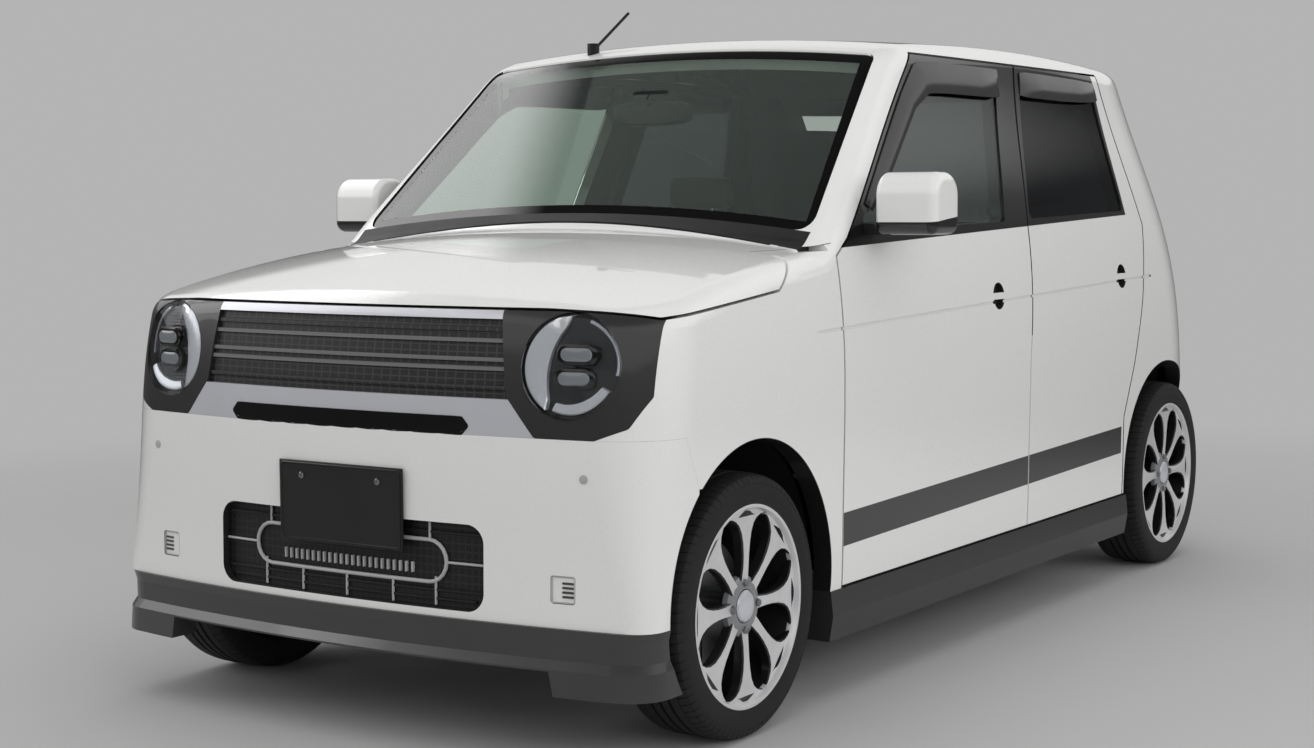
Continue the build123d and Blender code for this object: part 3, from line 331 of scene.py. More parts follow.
def latticeMaterial(name, color, paintedGapShade, pitchX, pitchZ, barX, barZ, rough, bands=()):
    # a moulded mesh in front of a dark space: bars where the cell's edge is near, and painted shade between
    # them for the dark space behind
    material, tree, shader = newMaterial(name)
    setShader(shader, rough=rough)
    place = coordsOf(tree)[1]
    cells = []
    for value, pitch, bar in ((place[0], pitchX, barX), (place[2], pitchZ, barZ)):
        cell = calc(tree, "FRACT", calc(tree, "MULTIPLY", value, 1 / pitch))
        cells.append(calc(tree, "LESS_THAN", calc(tree, "MULTIPLY", cell, pitch), bar))
    bars = calc(tree, "MAXIMUM", cells[0], cells[1])
    # the gaps between the bars get the painted shade colour
    shade = mixColor(tree, bars, srgb(paintedGapShade), srgb(color))
    for low, high in bands:
        shade = mixColor(tree, within(tree, place[2], low, high), shade, srgb("#6A6869"))
    link(tree, shade, shader, "Base Color")
    addBump(tree, shader, bars, 1.0, 0.003)
    return material


# the second colour of each grille is painted shade in its gaps
grilleMesh = latticeMaterial("upper grille mesh", "#393838", "#1D1D1E", 0.0235, 0.0135, 0.004, 0.003, 0.45,
                             bands=((0.790, 0.798), (0.808, 0.816), (0.846, 0.854)))
lowerMesh = latticeMaterial("lower grille mesh", "#1D1D1E", "#050505", 0.016, 0.016, 0.0035, 0.0035, 0.5)


# radii from the axle or from the lamp's middle; rings, lines and ribs are coarser than the real ones so that
# they show
tyreLook = {"rings": (0.222, 0.262), "ringTurns": 1400.0, "cuts": 96, "cutsFrom": 0.274, "cutShare": 0.1}
rimLook = {"faceFrom": 0.80, "outboard": halfTrack + 0.058, "lipFrom": 0.2015, "lineTurns": 5200.0}
lampLook = {"x": 0.548, "z": 0.803, "cup": 0.104, "ribTurns": 900.0}


def rubberMaterial():
    # tyre: fine sidewall rings, cuts across the ribs, a little dust in the grooves
    material, tree, shader = newMaterial("tyre rubber")
    setShader(shader, color=srgb("#181818"), rough=0.72)
    coords, place = coordsOf(tree)[:2]
    dz = calc(tree, "SUBTRACT", place[2], axleHeight)
    front = calc(tree, "SUBTRACT", place[1], frontAxle)
    rear = calc(tree, "SUBTRACT", place[1], rearAxle)
    isFront = calc(tree, "LESS_THAN", place[1], 0.0)
    dy = calc(tree, "ADD", calc(tree, "MULTIPLY", front, isFront),
              calc(tree, "MULTIPLY", rear, calc(tree, "SUBTRACT", 1.0, isFront)))
    reach = reachOf(tree, dy, dz)
    angle = calc(tree, "ARCTAN2", dz, dy)
    rings = calc(tree, "SINE", calc(tree, "MULTIPLY", reach, tyreLook["ringTurns"]))
    ringZone = within(tree, reach, *tyreLook["rings"])
    cuts = calc(tree, "FRACT", calc(tree, "MULTIPLY", angle, tyreLook["cuts"] / math.tau))
    cutZone = calc(tree, "GREATER_THAN", reach, tyreLook["cutsFrom"])
    cut = calc(tree, "MULTIPLY", calc(tree, "LESS_THAN", cuts, tyreLook["cutShare"]), cutZone)
    raised = calc(tree, "MULTIPLY", calc(tree, "MULTIPLY", rings, ringZone), 0.12)
    height = calc(tree, "SUBTRACT", raised, cut)
    height = calc(tree, "ADD", height, calc(tree, "MULTIPLY", noiseOf(tree, coords, 0.0015), 0.1))
    addBump(tree, shader, height, 0.9, 0.0016)
    dust = noiseOf(tree, coords, 0.05, 4.0)
    link(tree, mixColor(tree, dust, srgb("#131313"), srgb("#222121")), shader, "Base Color")
    link(tree, calc(tree, "MULTIPLY_ADD", dust, 0.2, 0.6), shader, "Roughness")
    return material


def twoToneAlloy():
    # rim: machined faces with fine turning lines, dark grey paint everywhere else
    material, tree, shader = newMaterial("machined and painted alloy")
    setShader(shader, rough=0.3, metal=1.0, coat=0.3, coatRough=0.05)
    coords, place, facing = coordsOf(tree)
    face = calc(tree, "GREATER_THAN", calc(tree, "ABSOLUTE", facing[0]), rimLook["faceFrom"])
    outboard = calc(tree, "GREATER_THAN", calc(tree, "ABSOLUTE", place[0]), rimLook["outboard"])
    dz = calc(tree, "SUBTRACT", place[2], axleHeight)
    dy = calc(tree, "SUBTRACT", calc(tree, "ABSOLUTE", calc(tree, "SUBTRACT", place[1], 0.0225)), 1.26)
    reach = reachOf(tree, dy, dz)
    face = calc(tree, "MAXIMUM", face, calc(tree, "GREATER_THAN", reach, rimLook["lipFrom"]))
    face = calc(tree, "MULTIPLY", face, outboard)
    lines = calc(tree, "SINE", calc(tree, "MULTIPLY", reach, rimLook["lineTurns"]))
    addBump(tree, shader, calc(tree, "MULTIPLY", lines, face), 0.25, 0.0002)
    bright = mixColor(tree, noiseOf(tree, coords, 0.03), srgb("#D6D6D8"), srgb("#E6E6E7"))
    link(tree, mixColor(tree, face, srgb("#242426"), bright), shader, "Base Color")
    link(tree, calc(tree, "MULTIPLY_ADD", face, 0.15, 0.3), shader, "Metallic")
    link(tree, calc(tree, "MULTIPLY_ADD", face, -0.08, 0.36), shader, "Roughness")
    return material


def clothMaterial(name, dark, light, thread):
    # woven seat cloth: crossed threads, soft sheen, a little fading
    material, tree, shader = newMaterial(name)
    setShader(shader, rough=0.9, sheen=0.35, sheenRough=0.4)
    coords, place = coordsOf(tree)[:2]
    rows = calc(tree, "SINE", calc(tree, "MULTIPLY", place[2], math.tau / thread))
    rows = calc(tree, "ADD", rows, calc(tree, "SINE", calc(tree, "MULTIPLY", place[1], math.tau / thread)))
    columns = calc(tree, "SINE", calc(tree, "MULTIPLY", place[0], math.tau / thread))
    weave = calc(tree, "MULTIPLY", rows, columns)
    addBump(tree, shader, weave, 0.6, 0.0006)
    fade = noiseOf(tree, coords, 0.08, 4.0)
    shade = calc(tree, "MULTIPLY_ADD", weave, 0.15, fade)
    link(tree, mixColor(tree, shade, srgb(dark), srgb(light)), shader, "Base Color")
    return material


def lampHousing():
    # smoked lamp body: gloss black with fine ribs in the cup's floor
    material, tree, shader = newMaterial("dark lamp housing")
    setShader(shader, color=srgb("#1B1B1D"), rough=0.2, coat=0.6, coatRough=0.03)
    place = coordsOf(tree)[1]
    ribs = calc(tree, "SINE", calc(tree, "MULTIPLY", place[2], lampLook["ribTurns"]))
    dx = calc(tree, "SUBTRACT", calc(tree, "ABSOLUTE", place[0]), lampLook["x"])
    dz = calc(tree, "SUBTRACT", place[2], lampLook["z"])
    reach = reachOf(tree, dx, dz)
    cup = calc(tree, "LESS_THAN", reach, lampLook["cup"])
    addBump(tree, shader, calc(tree, "MULTIPLY", ribs, cup), 0.5, 0.0008)
    link(tree, mixColor(tree, cup, srgb("#2C2B2C"), srgb("#0C0C0D")), shader, "Base Color")
    link(tree, calc(tree, "MULTIPLY_ADD", cup, -0.12, 0.32), shader, "Roughness")
    return material


def tailLens():
    # red lens with a clear upper part over a ribbed reflector
    material, tree, shader = newMaterial("tail lamp lens")
    setShader(shader, rough=0.08, coat=0.8, coatRough=0.02)
    place = coordsOf(tree)[1]
    ribs = calc(tree, "SINE", calc(tree, "MULTIPLY", place[2], 420.0))
    clear = within(tree, place[2], 0.872, 0.915)
    addBump(tree, shader, ribs, 0.4, 0.001)
    link(tree, mixColor(tree, clear, srgb("#7C0C10"), srgb("#C9C5C2")), shader, "Base Color")
    return material


rubber = rubberMaterial()
alloy = twoToneAlloy()
seatCloth = clothMaterial("seat cloth", "#4A4A48", "#63625F", 0.0052)
housing = lampHousing()
tailRed = tailLens()

slotMaterial = {
    "painted": paint, "clear_glass": sideGlass, "dark_glass": darkGlass, "tyre": rubber, "alloy": alloy,
    "grey_plastic": trimGrey, "black_plastic": blackPlastic, "bright_trim": silverTrim, "lamp": housing,
    "cabin_trim": cabin, "seat_cloth": seatCloth, "chassis": chassis, "engine": castMetal,
}
nodeMaterial = {
    "tail_lamps": tailRed, "windscreen": screenGlass, "upper_grille": grilleMesh, "lower_grille": lowerMesh,
    "side_skirts": skirtGrey, "steering_wheel": leather, "knuckle_left": steel, "knuckle_right": steel,
}
for side, sign in sides:
    nodeMaterial[f"side_frame_{side}"] = sidePaint
    nodeMaterial[f"front_door_{side}"] = doorPaint
    nodeMaterial[f"rear_door_{side}"] = doorPaint
    nodeMaterial[f"door_mirror_{side}"] = mirrorPaint
for part in frame["record"]["subparts"]:
    obj = nodes[part["node"]]
    obj.data.materials.clear()
    obj.data.materials.append(nodeMaterial.get(part["node"], slotMaterial[part["material_slot"]]))
print("materials on the CAD nodes")


# piece helpers

def addPiece(name, mesh, material, body, sharpDegrees=32):
    # one finished piece: object at the origin, outward faces, riding on a body
    work = bmesh.new()
    work.from_mesh(mesh)
    bmesh.ops.remove_doubles(work, verts=work.verts, dist=0.00002)
    bmesh.ops.recalc_face_normals(work, faces=work.faces)
    work.to_mesh(mesh)
    work.free()
    mesh.name = name
    mesh.materials.clear()
    mesh.materials.append(material)
    mesh.shade_smooth()
    mesh.set_sharp_from_angle(angle=math.radians(sharpDegrees))
    obj = bpy.data.objects.new(name, mesh)
    bpy.context.scene.collection.objects.link(obj)
    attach(obj, body)
    return obj


def meshOf(verts, faces):
    mesh = bpy.data.meshes.new("work")
    mesh.from_pydata([tuple(v) for v in verts], [], faces)
    return mesh


def joined(meshes):
    work = bmesh.new()
    for mesh in meshes:
        work.from_mesh(mesh)
    result = bpy.data.meshes.new("work")
    work.to_mesh(result)
    work.free()
    return result


def mirrored(mesh):
    copy = mesh.copy()
    copy.transform(Matrix.Diagonal((-1, 1, 1, 1)))
    copy.flip_normals()
    return copy


def handed(mesh, sign):
    return mesh.copy() if sign > 0 else mirrored(mesh)


def grid(rows, closedRows=False, closedColumns=False, caps=False):
    # rows of points joined into quads
    count = len(rows[0])
    verts = [p for row in rows for p in row]
    faces = []
    for i in range(len(rows) - (0 if closedRows else 1)):
        for j in range(count - (0 if closedColumns else 1)):
            a, b = i * count + j, i * count + (j + 1) % count
            c, d = ((i + 1) % len(rows)) * count + (j + 1) % count, ((i + 1) % len(rows)) * count + j
            faces.append((a, b, c, d))
    if caps:
        faces.append(tuple(range(count - 1, -1, -1)))
        faces.append(tuple((len(rows) - 1) * count + j for j in range(count)))
    return meshOf(verts, faces)


def lathe(profile, segments=64):
    # closed profile of (x, radius) turned about the X axis
    rows = []
    for i in range(segments):
        turn = math.tau * i / segments
        rows.append([Vector((x, r * math.cos(turn), r * math.sin(turn))) for x, r in profile])
    return grid(rows, closedRows=True, closedColumns=True)


def tube(path, radius, ringSize=8, closed=False, flat=1.0):
    # round or flattened section carried along a path
    rows = []
    count = len(path)
    for i, point in enumerate(path):
        before = path[(i - 1) % count] if closed or i else path[i]
        after = path[(i + 1) % count] if closed or i < count - 1 else path[i]
        along = (Vector(after) - Vector(before)).normalized()
        side = along.cross(Vector((0, 1, 0)))
        side = side.normalized() if side.length > 0.01 else Vector((1, 0, 0))
        over = side.cross(along)
        rows.append([Vector(point) + side * radius * math.cos(math.tau * j / ringSize)
                     + over * radius * flat * math.sin(math.tau * j / ringSize) for j in range(ringSize)])
    return grid(rows, closedRows=closed, closedColumns=True, caps=not closed)


def softBox(low, high, bevel, segments=3):
    work = bmesh.new()
    bmesh.ops.create_cube(work, size=1.0)
    size = Vector(high) - Vector(low)
    bmesh.ops.scale(work, vec=size, verts=work.verts)
    bmesh.ops.translate(work, vec=(Vector(high) + Vector(low)) / 2, verts=work.verts)
    bmesh.ops.bevel(work, geom=list(work.edges), offset=bevel, segments=segments, profile=0.5, affect="EDGES")
    mesh = bpy.data.meshes.new("work")
    work.to_mesh(mesh)
    work.free()
    return mesh


def plateOf(outline, thickness, normal):
    # flat outline given a thickness along its normal
    count = len(outline)
    back = [Vector(p) for p in outline]
    front = [p + Vector(normal) * thickness for p in back]
    faces = [tuple(range(count)), tuple(range(2 * count - 1, count - 1, -1))]
    faces += [(i, (i + 1) % count, count + (i + 1) % count, count + i) for i in range(count)]
    return meshOf(back + front, faces)


def treeOf(*names):
    verts, faces = [], []
    for name in names:
        mesh = nodes[name].data
        offset = len(verts)
        verts += [v.co.copy() for v in mesh.vertices]
        faces += [[i + offset for i in p.vertices] for p in mesh.polygons]
    return BVHTree.FromPolygons(verts, faces)


def hit(tree, origin, direction):
    found = tree.ray_cast(Vector(origin), Vector(direction).normalized())[0]
    if found is None:
        raise RuntimeError(f"no surface from {origin}")
    return found


def buildRepeat():
    # Geometry Nodes: the item again and again, each moved by a step and turned about X
    tree = bpy.data.node_groups.new("repeatItem", "GeometryNodeTree")
    found = {}
    for label, kind in (("Item", "NodeSocketObject"), ("Count", "NodeSocketInt"),
                        ("Start", "NodeSocketVector"), ("Step", "NodeSocketVector"),
                        ("Turn", "NodeSocketFloat"), ("Finish", "NodeSocketMaterial")):
        found[label] = tree.interface.new_socket(label, in_out="INPUT", socket_type=kind).identifier
    tree.interface.new_socket("Geometry", in_out="OUTPUT", socket_type="NodeSocketGeometry")
    given = addNode(tree, "NodeGroupInput").outputs
    index = addNode(tree, "GeometryNodeInputIndex").outputs[0]
    places = addNode(tree, "ShaderNodeVectorMath", {0: given["Step"], 1: index, 2: given["Start"]},
                     operation="MULTIPLY_ADD")
    points = addNode(tree, "GeometryNodePoints", {"Count": given["Count"], "Position": places.outputs[0]})
    turn = addNode(tree, "ShaderNodeMath", {0: index, 1: given["Turn"]}, operation="MULTIPLY").outputs[0]
    turns = addNode(tree, "ShaderNodeCombineXYZ", {"X": turn}).outputs[0]
    item = addNode(tree, "GeometryNodeObjectInfo", {"Object": given["Item"]})
    copies = addNode(tree, "GeometryNodeInstanceOnPoints",
                     {"Points": points.outputs[0], "Instance": item.outputs["Geometry"], "Rotation": turns})
    real = addNode(tree, "GeometryNodeRealizeInstances", {"Geometry": copies.outputs[0]})
    finish = addNode(tree, "GeometryNodeSetMaterial",
                     {"Geometry": real.outputs[0], "Material": given["Finish"]})
    addNode(tree, "NodeGroupOutput", {0: finish.outputs[0]})
    return tree, found


repeatTree, repeatSockets = buildRepeat()


def repeated(itemMesh, count, material, start=(0, 0, 0), step=(0, 0, 0), turn=0.0):
    item = bpy.data.objects.new("item", itemMesh)
    host = bpy.data.objects.new("host", bpy.data.meshes.new("host"))
    for obj in (item, host):
        bpy.context.scene.collection.objects.link(obj)
    modifier = host.modifiers.new("repeat", "NODES")
    modifier.node_group = repeatTree
    for label, value in (("Item", item), ("Count", count), ("Start", start), ("Step", step), ("Turn", turn),
                         ("Finish", material)):
        modifier[repeatSockets[label]] = value
    bpy.context.view_layer.update()
    mesh = bpy.data.meshes.new_from_object(host.evaluated_get(bpy.context.evaluated_depsgraph_get()))
    for obj in (item, host):
        bpy.data.objects.remove(obj)
    return mesh


# wheels: tyre, two-tone rim, cap and nuts

wheelValues = {
    "spokes": 8, "nuts": 4, "nutCircle": 0.050, "lugs": 84, "grooveDepth": 0.007, "hubBore": 0.0346,
    # radius from the axle, half width of a spoke, how far its face stands from the wheel's middle
    "spoke": [(0.043, 0.0176, 0.0640), (0.060, 0.0150, 0.0665), (0.085, 0.0128, 0.0690),
              (0.110, 0.0132, 0.0702), (0.135, 0.0165, 0.0708), (0.158, 0.0225, 0.0708),
              (0.176, 0.0325, 0.0705), (0.188, 0.0450, 0.0702), (0.197, 0.0600, 0.0700),
              (0.2040, 0.0770, 0.0698)],
    "spokeBack": 0.046,
}


def tyreMesh():
    half = [(0.066, 0.2105), (0.076, 0.2120), (0.0795, 0.2155), (0.0805, 0.2230), (0.0822, 0.2360),
            (0.0824, 0.2450), (0.0815, 0.2560), (0.0790, 0.2645), (0.0740, 0.2712), (0.0650, 0.2745),
            (0.0480, 0.2752)]
    depth = wheelValues["grooveDepth"]
    tread = [(0.0478, 0.2800), (0.0280, 0.2806), (0.0270, 0.2806 - depth), (0.0210, 0.2806 - depth),
             (0.0200, 0.2808), (0.0040, 0.2810), (0.0032, 0.2810 - depth)]
    right = half + tread
    left = [(-x, r) for x, r in reversed(right)]
    return lathe(right + left, 96)


def lugMesh():
    # one shoulder block, built at the top of the tyre
    section = [(0.0490, 0.2700), (0.0492, 0.2796), (0.0640, 0.2780), (0.0735, 0.2742), (0.0790, 0.2672),
               (0.0812, 0.2590), (0.0760, 0.2560), (0.0600, 0.2680)]
    rows = []
    for z0, pull in ((-0.0094, 0.0005), (-0.0088, 0.0), (0.0088, 0.0), (0.0094, 0.0005)):
        rows.append([Vector((x, z0 + (x - 0.065) * 0.15, r - pull)) for x, r in section])
    return grid(rows, closedColumns=True, caps=True)


def spokeMesh():
    rows = []
    back = wheelValues["spokeBack"]
    for r, w, face in wheelValues["spoke"]:
        edge = min(0.0032, w * 0.2)
        section = ((face - 0.0032, -w), (face, -w + edge), (face - 0.0004, -w * 0.5), (face - 0.0009, 0),
                   (face - 0.0004, w * 0.5), (face, w - edge), (face - 0.0032, w),
                   (back, w * 0.86), (back, -w * 0.86))
        rows.append([Vector((x, y, math.sqrt(r * r - y * y))) for x, y in section])
    return grid(rows, closedColumns=True, caps=True)


def rimMesh():
    profile = [(0.0790, 0.2160), (0.0798, 0.2140), (0.0790, 0.2085), (0.0755, 0.2062), (0.0720, 0.2045),
               (0.0690, 0.2030), (0.0560, 0.2010), (-0.0640, 0.2000), (-0.0720, 0.2080), (-0.0770, 0.2160),
               (-0.0740, 0.2160), (-0.0600, 0.2092), (0.0600, 0.2092), (0.0740, 0.2100)]
    return lathe(profile, 96)


def hubMesh():
    bore = wheelValues["hubBore"]
    profile = [(0.0470, bore), (0.0640, bore), (0.0670, 0.0370), (0.0672, 0.0420), (0.0650, 0.0560),
               (0.0610, 0.0640), (0.0500, 0.0660), (0.0450, 0.0600)]
    return lathe(profile, 48)


def capMesh():
    profile = [(0.0668, 0.0010), (0.0745, 0.0010), (0.0742, 0.0120), (0.0730, 0.0240), (0.0705, 0.0310),
               (0.0668, 0.0340)]
    return lathe(profile, 40)


def nutMesh():
    # six-sided nut with a domed end
    rows = []
    circle = wheelValues["nutCircle"]
    for x, r in ((0.0635, 0.0085), (0.0720, 0.0085), (0.0738, 0.0060), (0.0742, 0.0015)):
        turns = [math.tau * i / 6 for i in range(6)]
        rows.append([Vector((x, r * math.cos(turn), circle + r * math.sin(turn))) for turn in turns])
    return grid(rows, closedColumns=True, caps=True)


def roundTheWheel(mesh, what, material):
    return repeated(mesh, wheelValues[what], material, turn=math.tau / wheelValues[what])


lugs = roundTheWheel(joined([lugMesh(), mirrored(lugMesh())]), "lugs", rubber)
spokes = roundTheWheel(spokeMesh(), "spokes", alloy)
nuts = roundTheWheel(nutMesh(), "nuts", boltSteel)
wheelParts = [
    # name, mesh, material, slot, sharp edge angle
    ("tyreBody", tyreMesh(), rubber, "tyre", 35), ("tyreLugs", lugs, rubber, "tyre", 30),
    ("rimRing", rimMesh(), alloy, "alloy", 30), ("rimSpokes", spokes, alloy, "alloy", 24),
    ("rimHub", hubMesh(), hubGrey, "alloy", 30), ("rimCap", capMesh(), silverTrim, "alloy", 30),
    ("rimNuts", nuts, boltSteel, "alloy", 30),
]
for end, axle in (("front", frontAxle), ("rear", rearAxle)):
    for side, sign in sides:
        place = Matrix.Translation((sign * halfTrack, axle, axleHeight))
        for name, mesh, material, slotName, sharpDegrees in wheelParts:
            part = handed(mesh, sign)
            part.transform(place)
            piece = addPiece(f"{name}_{end}_{side}", part, material, f"wheel_{end}_{side}",
                             sharpDegrees)
            if name == "tyreBody":
                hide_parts(f"tyre_{end}_{side}")
            if name == "rimRing":
                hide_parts(f"rim_{end}_{side}")
print("wheels")

# headlamps: crescent, arcs, projectors and clear cover

lampValues = {
    "x": lampLook["x"], "z": lampLook["z"], "coverRadius": 0.1045, "projectorRise": 0.024,
    # sideways shift of the upper and the lower projector; half length, radius and lift of each part
    "shifts": (0.016, 0.010), "bezel": (0.0440, 0.0215), "lens": (0.0345, 0.0140, 0.0030),
}
noseTree = treeOf("headlamps", "front_garnish", "front_bumper", "front_fenders", "upper_grille", "bonnet")
lampTree = treeOf("headlamps")


def lampFloor(x, z):
    return hit(lampTree, (x, -2.2, z), (0, 1, 0)).y


def arcPlate(innerAt, outerAt, startDegrees, endDegrees, height, steps=36, rise=0.0):
    # raised plate between two radii round the lamp's centre; the radii change along the arc
    rows = []
    for i in range(steps + 1):
        t = i / steps
        turn = math.radians(startDegrees + (endDegrees - startDegrees) * t)
        inner, outer = innerAt(t), outerAt(t)
        rounding = 0.15 * (outer - inner)
        ring = []
        for radius, lift in ((inner, -0.001), (inner, height * 0.8), (inner + rounding, height),
                             (outer - rounding, height + rise), (outer, height * 0.8 + rise),
                             (outer, -0.001)):
            x = lampValues["x"] + radius * math.cos(turn)
            z = lampValues["z"] + radius * math.sin(turn)
            ring.append(Vector((x, lampFloor(x, z) - lift, z)))
        rows.append(ring)
    return grid(rows, closedColumns=True, caps=True)


lampX, lampZ = lampValues["x"], lampValues["z"]
cupSlope = (lampFloor(lampX + 0.08, lampZ) - lampFloor(lampX - 0.08, lampZ)) / 0.16
cupFloor = (lampFloor(lampX + 0.08, lampZ) + lampFloor(lampX - 0.08, lampZ)) / 2

# inner and outer radius along the arc, its two ends in degrees, and its height
crescent = arcPlate(lambda t: 0.099 - 0.050 * math.sin(math.pi * t) ** 0.5, lambda t: 0.1005, 96, 240, 0.011,
                    rise=0.003)
lowArc = arcPlate(lambda t: 0.078 - 0.004 * math.sin(math.pi * t), lambda t: 0.0955, 248, 330, 0.009,
                  rise=0.002)
brow = arcPlate(lambda t: 0.091, lambda t: 0.098, 350, 430, 0.006)


def projector(centreX, centreZ, halfLength, radius, lift=0.0):
    # wide projector lens: a rounded bar with a domed front
    rows = []
    for shrink, height in ((1.0, -0.001), (1.0, 0.0165), (0.93, 0.0192), (0.65, 0.0208), (0.05, 0.0214)):
        ring = []
        for sign, start in ((1, -90), (-1, 90)):
            for i in range(9):
                turn = math.radians(start + 22.5 * i)
                x = centreX + shrink * (sign * (halfLength - radius) + radius * math.cos(turn))
                y = cupFloor - height - lift + (x - lampX) * cupSlope
                ring.append(Vector((x, y, centreZ + shrink * radius * math.sin(turn))))
        rows.append(ring)
    return grid(rows, closedColumns=True, caps=True)


def lampCover():
    # follows the lamp's own skin round the cup, closed by a shallow dome
    radius = lampValues["coverRadius"]
    rim = []
    for j in range(48):
        turn = math.tau * j / 48
        x, z = lampX + (radius + 0.004) * math.cos(turn), lampZ + (radius + 0.004) * math.sin(turn)
        rim.append(hit(noseTree, (x, -2.2, z), (0, 1, 0)).y)
    rim = [min(rim[j], min(rim) + 0.05) for j in range(48)]
    middle = sum(rim) / len(rim)
    layers = []
    for thick in (0.0, 0.0015):
        rows = []
        for r in (1.0, 0.85, 0.65, 0.45, 0.25, 0.02):
            rows.append([Vector((lampX + radius * r * math.cos(math.tau * j / 48),
                                 middle + (rim[j] - middle) * r - 0.0025 * (1 - r * r) + thick + 0.0004,
                                 lampZ + radius * r * math.sin(math.tau * j / 48))) for j in range(48)])
        layers.append(rows)
    rows = layers[0][::-1] + layers[1]
    return grid(rows, closedColumns=True, caps=True)


def projectorPair(sizes):
    upper, lower = lampValues["shifts"]
    rise = lampValues["projectorRise"]
    return joined([projector(lampX + upper, lampZ + rise, *sizes),
                   projector(lampX + lower, lampZ - rise, *sizes)])


lampPieces = [
    ("lampCrescent", joined([crescent, lowArc]), chrome, "bright_trim"),
    ("lampBrow", brow, silverTrim, "bright_trim"),
    ("lampBezels", projectorPair(lampValues["bezel"]), glossBlack, "lamp"),
    ("lampLenses", projectorPair(lampValues["lens"]), lensGlass, "clear_glass"),
    ("lampCover", lampCover(), lensClear, "clear_glass"),
]
for name, mesh, material, slotName in lampPieces:
    for side, sign in sides:
        addPiece(f"{name}_{side}", handed(mesh, sign), material, "root")
print("headlamps")

# front: lower grille loop, plate, covers, sensors

frontValues = {
    "loop": (0.262, 0.351, 0.438), "loopWidth": 0.0042, "strutWidth": 0.0028, "fins": 23, "finZ": 0.378,
    "bars": ((0.318, 0.335), (0.336, 0.350), (0.455, 0.345)), "barWidth": 0.0038,    # height, half length
    "plate": (0.330, 0.165, 0.497), "plateY": -1.6868, "plateCorner": 0.008, "plateRim": 0.0045,
    "plateBolt": (0.105, 0.552), "cover": (0.543, 0.362, 0.052), "sensor": (0.589, 0.584, 0.009),
}
lowerTree = treeOf("lower_grille")
bumperTree = treeOf("front_bumper", "lower_grille")


def onFront(tree, x, z, proud):
    return Vector((x, hit(tree, (x, -2.2, z), (0, 1, 0)).y - proud, z))


def stadium(halfLength, low, high, steps=10):
    radius = (high - low) / 2
    middle = (high + low) / 2
    points = []
    for sign, start in ((1, -90), (-1, 90)):
        for i in range(steps + 1):
            turn = math.radians(start + 180 * i / steps)
            x = sign * (halfLength - radius) + radius * math.cos(turn)
            points.append((x, middle + radius * math.sin(turn)))
        for k in range(1, 6):
            x = sign * (halfLength - radius) * (1 - k / 3)
            points.append((x, high if sign > 0 else low))
    return points


halfLength, loopLow, loopHigh = frontValues["loop"]
loopPath = [onFront(lowerTree, x, z, 0.004) for x, z in stadium(halfLength, loopLow, loopHigh)]
loop = tube(loopPath, frontValues["loopWidth"], 8, closed=True)
strutLines = [((0.0, 0.303), (0.0, loopLow)),
              ((-0.125, 0.303), (-0.125, loopLow)), ((0.125, 0.303), (0.125, loopLow)),
              ((-0.235, 0.305), (-0.235, loopLow + 0.012)), ((0.235, 0.305), (0.235, loopLow + 0.012)),
              ((-0.359, 0.394), (-halfLength, 0.394)), ((halfLength, 0.394), (0.359, 0.394)),
              ((-0.22, loopHigh), (-0.22, 0.475)), ((0.22, loopHigh), (0.22, 0.475))]
struts = []
for (startX, startZ), (endX, endZ) in strutLines:
    path = [onFront(lowerTree, startX + (endX - startX) * t / 4, startZ + (endZ - startZ) * t / 4, 0.0035)
            for t in range(5)]
    struts.append(tube(path, frontValues["strutWidth"], 8))
addPiece("lowerGrilleLoop", joined([loop] + struts), gridLight, "root")
fin = softBox((-0.0022, -0.005, -0.011), (0.0022, 0.003, 0.011), 0.0012, 2)
finZ = frontValues["finZ"]
finLow = onFront(lowerTree, 0.0, finZ, 0.002)
fins = repeated(fin, frontValues["fins"], gridLight, start=(-0.176, finLow.y, finZ), step=(0.016, 0, 0))
for vertex in fins.vertices:
    vertex.co.y += onFront(lowerTree, vertex.co.x, finZ, 0.002).y - finLow.y
addPiece("lowerGrilleFins", fins, gridLight, "root")
for index, (z, reach) in enumerate(frontValues["bars"]):
    path = [onFront(lowerTree, reach * t / 10, z, 0.002) for t in range(-10, 11)]
    bar = tube(path, frontValues["barWidth"], 6)
    addPiece(f"lowerGrilleBar_{index}", bar, blackPlastic, "root")

width, height, middle = frontValues["plate"]
plateY, radius = frontValues["plateY"], frontValues["plateCorner"]
outline = []
for sx, sz, start in ((1, -1, -90), (1, 1, 0), (-1, 1, 90), (-1, -1, 180)):
    for i in range(5):
        turn = math.radians(start + 90 * i / 4)
        outline.append((sx * (width / 2 - radius) + radius * math.cos(turn), plateY,
                        middle + sz * (height / 2 - radius) + radius * math.sin(turn)))
plate = plateOf(outline, 0.0012, (0, 1, 0))
rimRows = []
for x, y, z in outline:
    towardsX = -x / abs(x) if x else 0
    towardsZ = (middle - z) / abs(middle - z) if z != middle else 0
    inward = Vector((towardsX, 0, towardsZ)) * frontValues["plateRim"]
    point, raised = Vector((x, y, z)), Vector((0, -0.0014, 0))
    rimRows.append([point, point + raised + inward * 0.3, point + raised + inward * 0.8, point + inward])
plateRim = grid(rimRows, closedRows=True, closedColumns=True)
holder = softBox((-0.170, plateY + 0.0012, middle - 0.086), (0.170, plateY + 0.0065, middle + 0.086),
                 0.002, 2)
addPiece("frontPlate", joined([plate, plateRim]), plateBlack, "root")
addPiece("frontPlateHolder", holder, blackPlastic, "root")
bolt = lathe([(0.0, 0.0008), (0.0042, 0.0008), (0.0040, 0.0055), (0.0022, 0.0072), (0.0, 0.0074)], 16)
bolt.transform(Matrix.Rotation(math.radians(-90), 4, "Z"))
boltX, boltZ = frontValues["plateBolt"]
bolts = repeated(bolt, 2, boltSteel, start=(-boltX, plateY + 0.0002, boltZ), step=(2 * boltX, 0, 0))
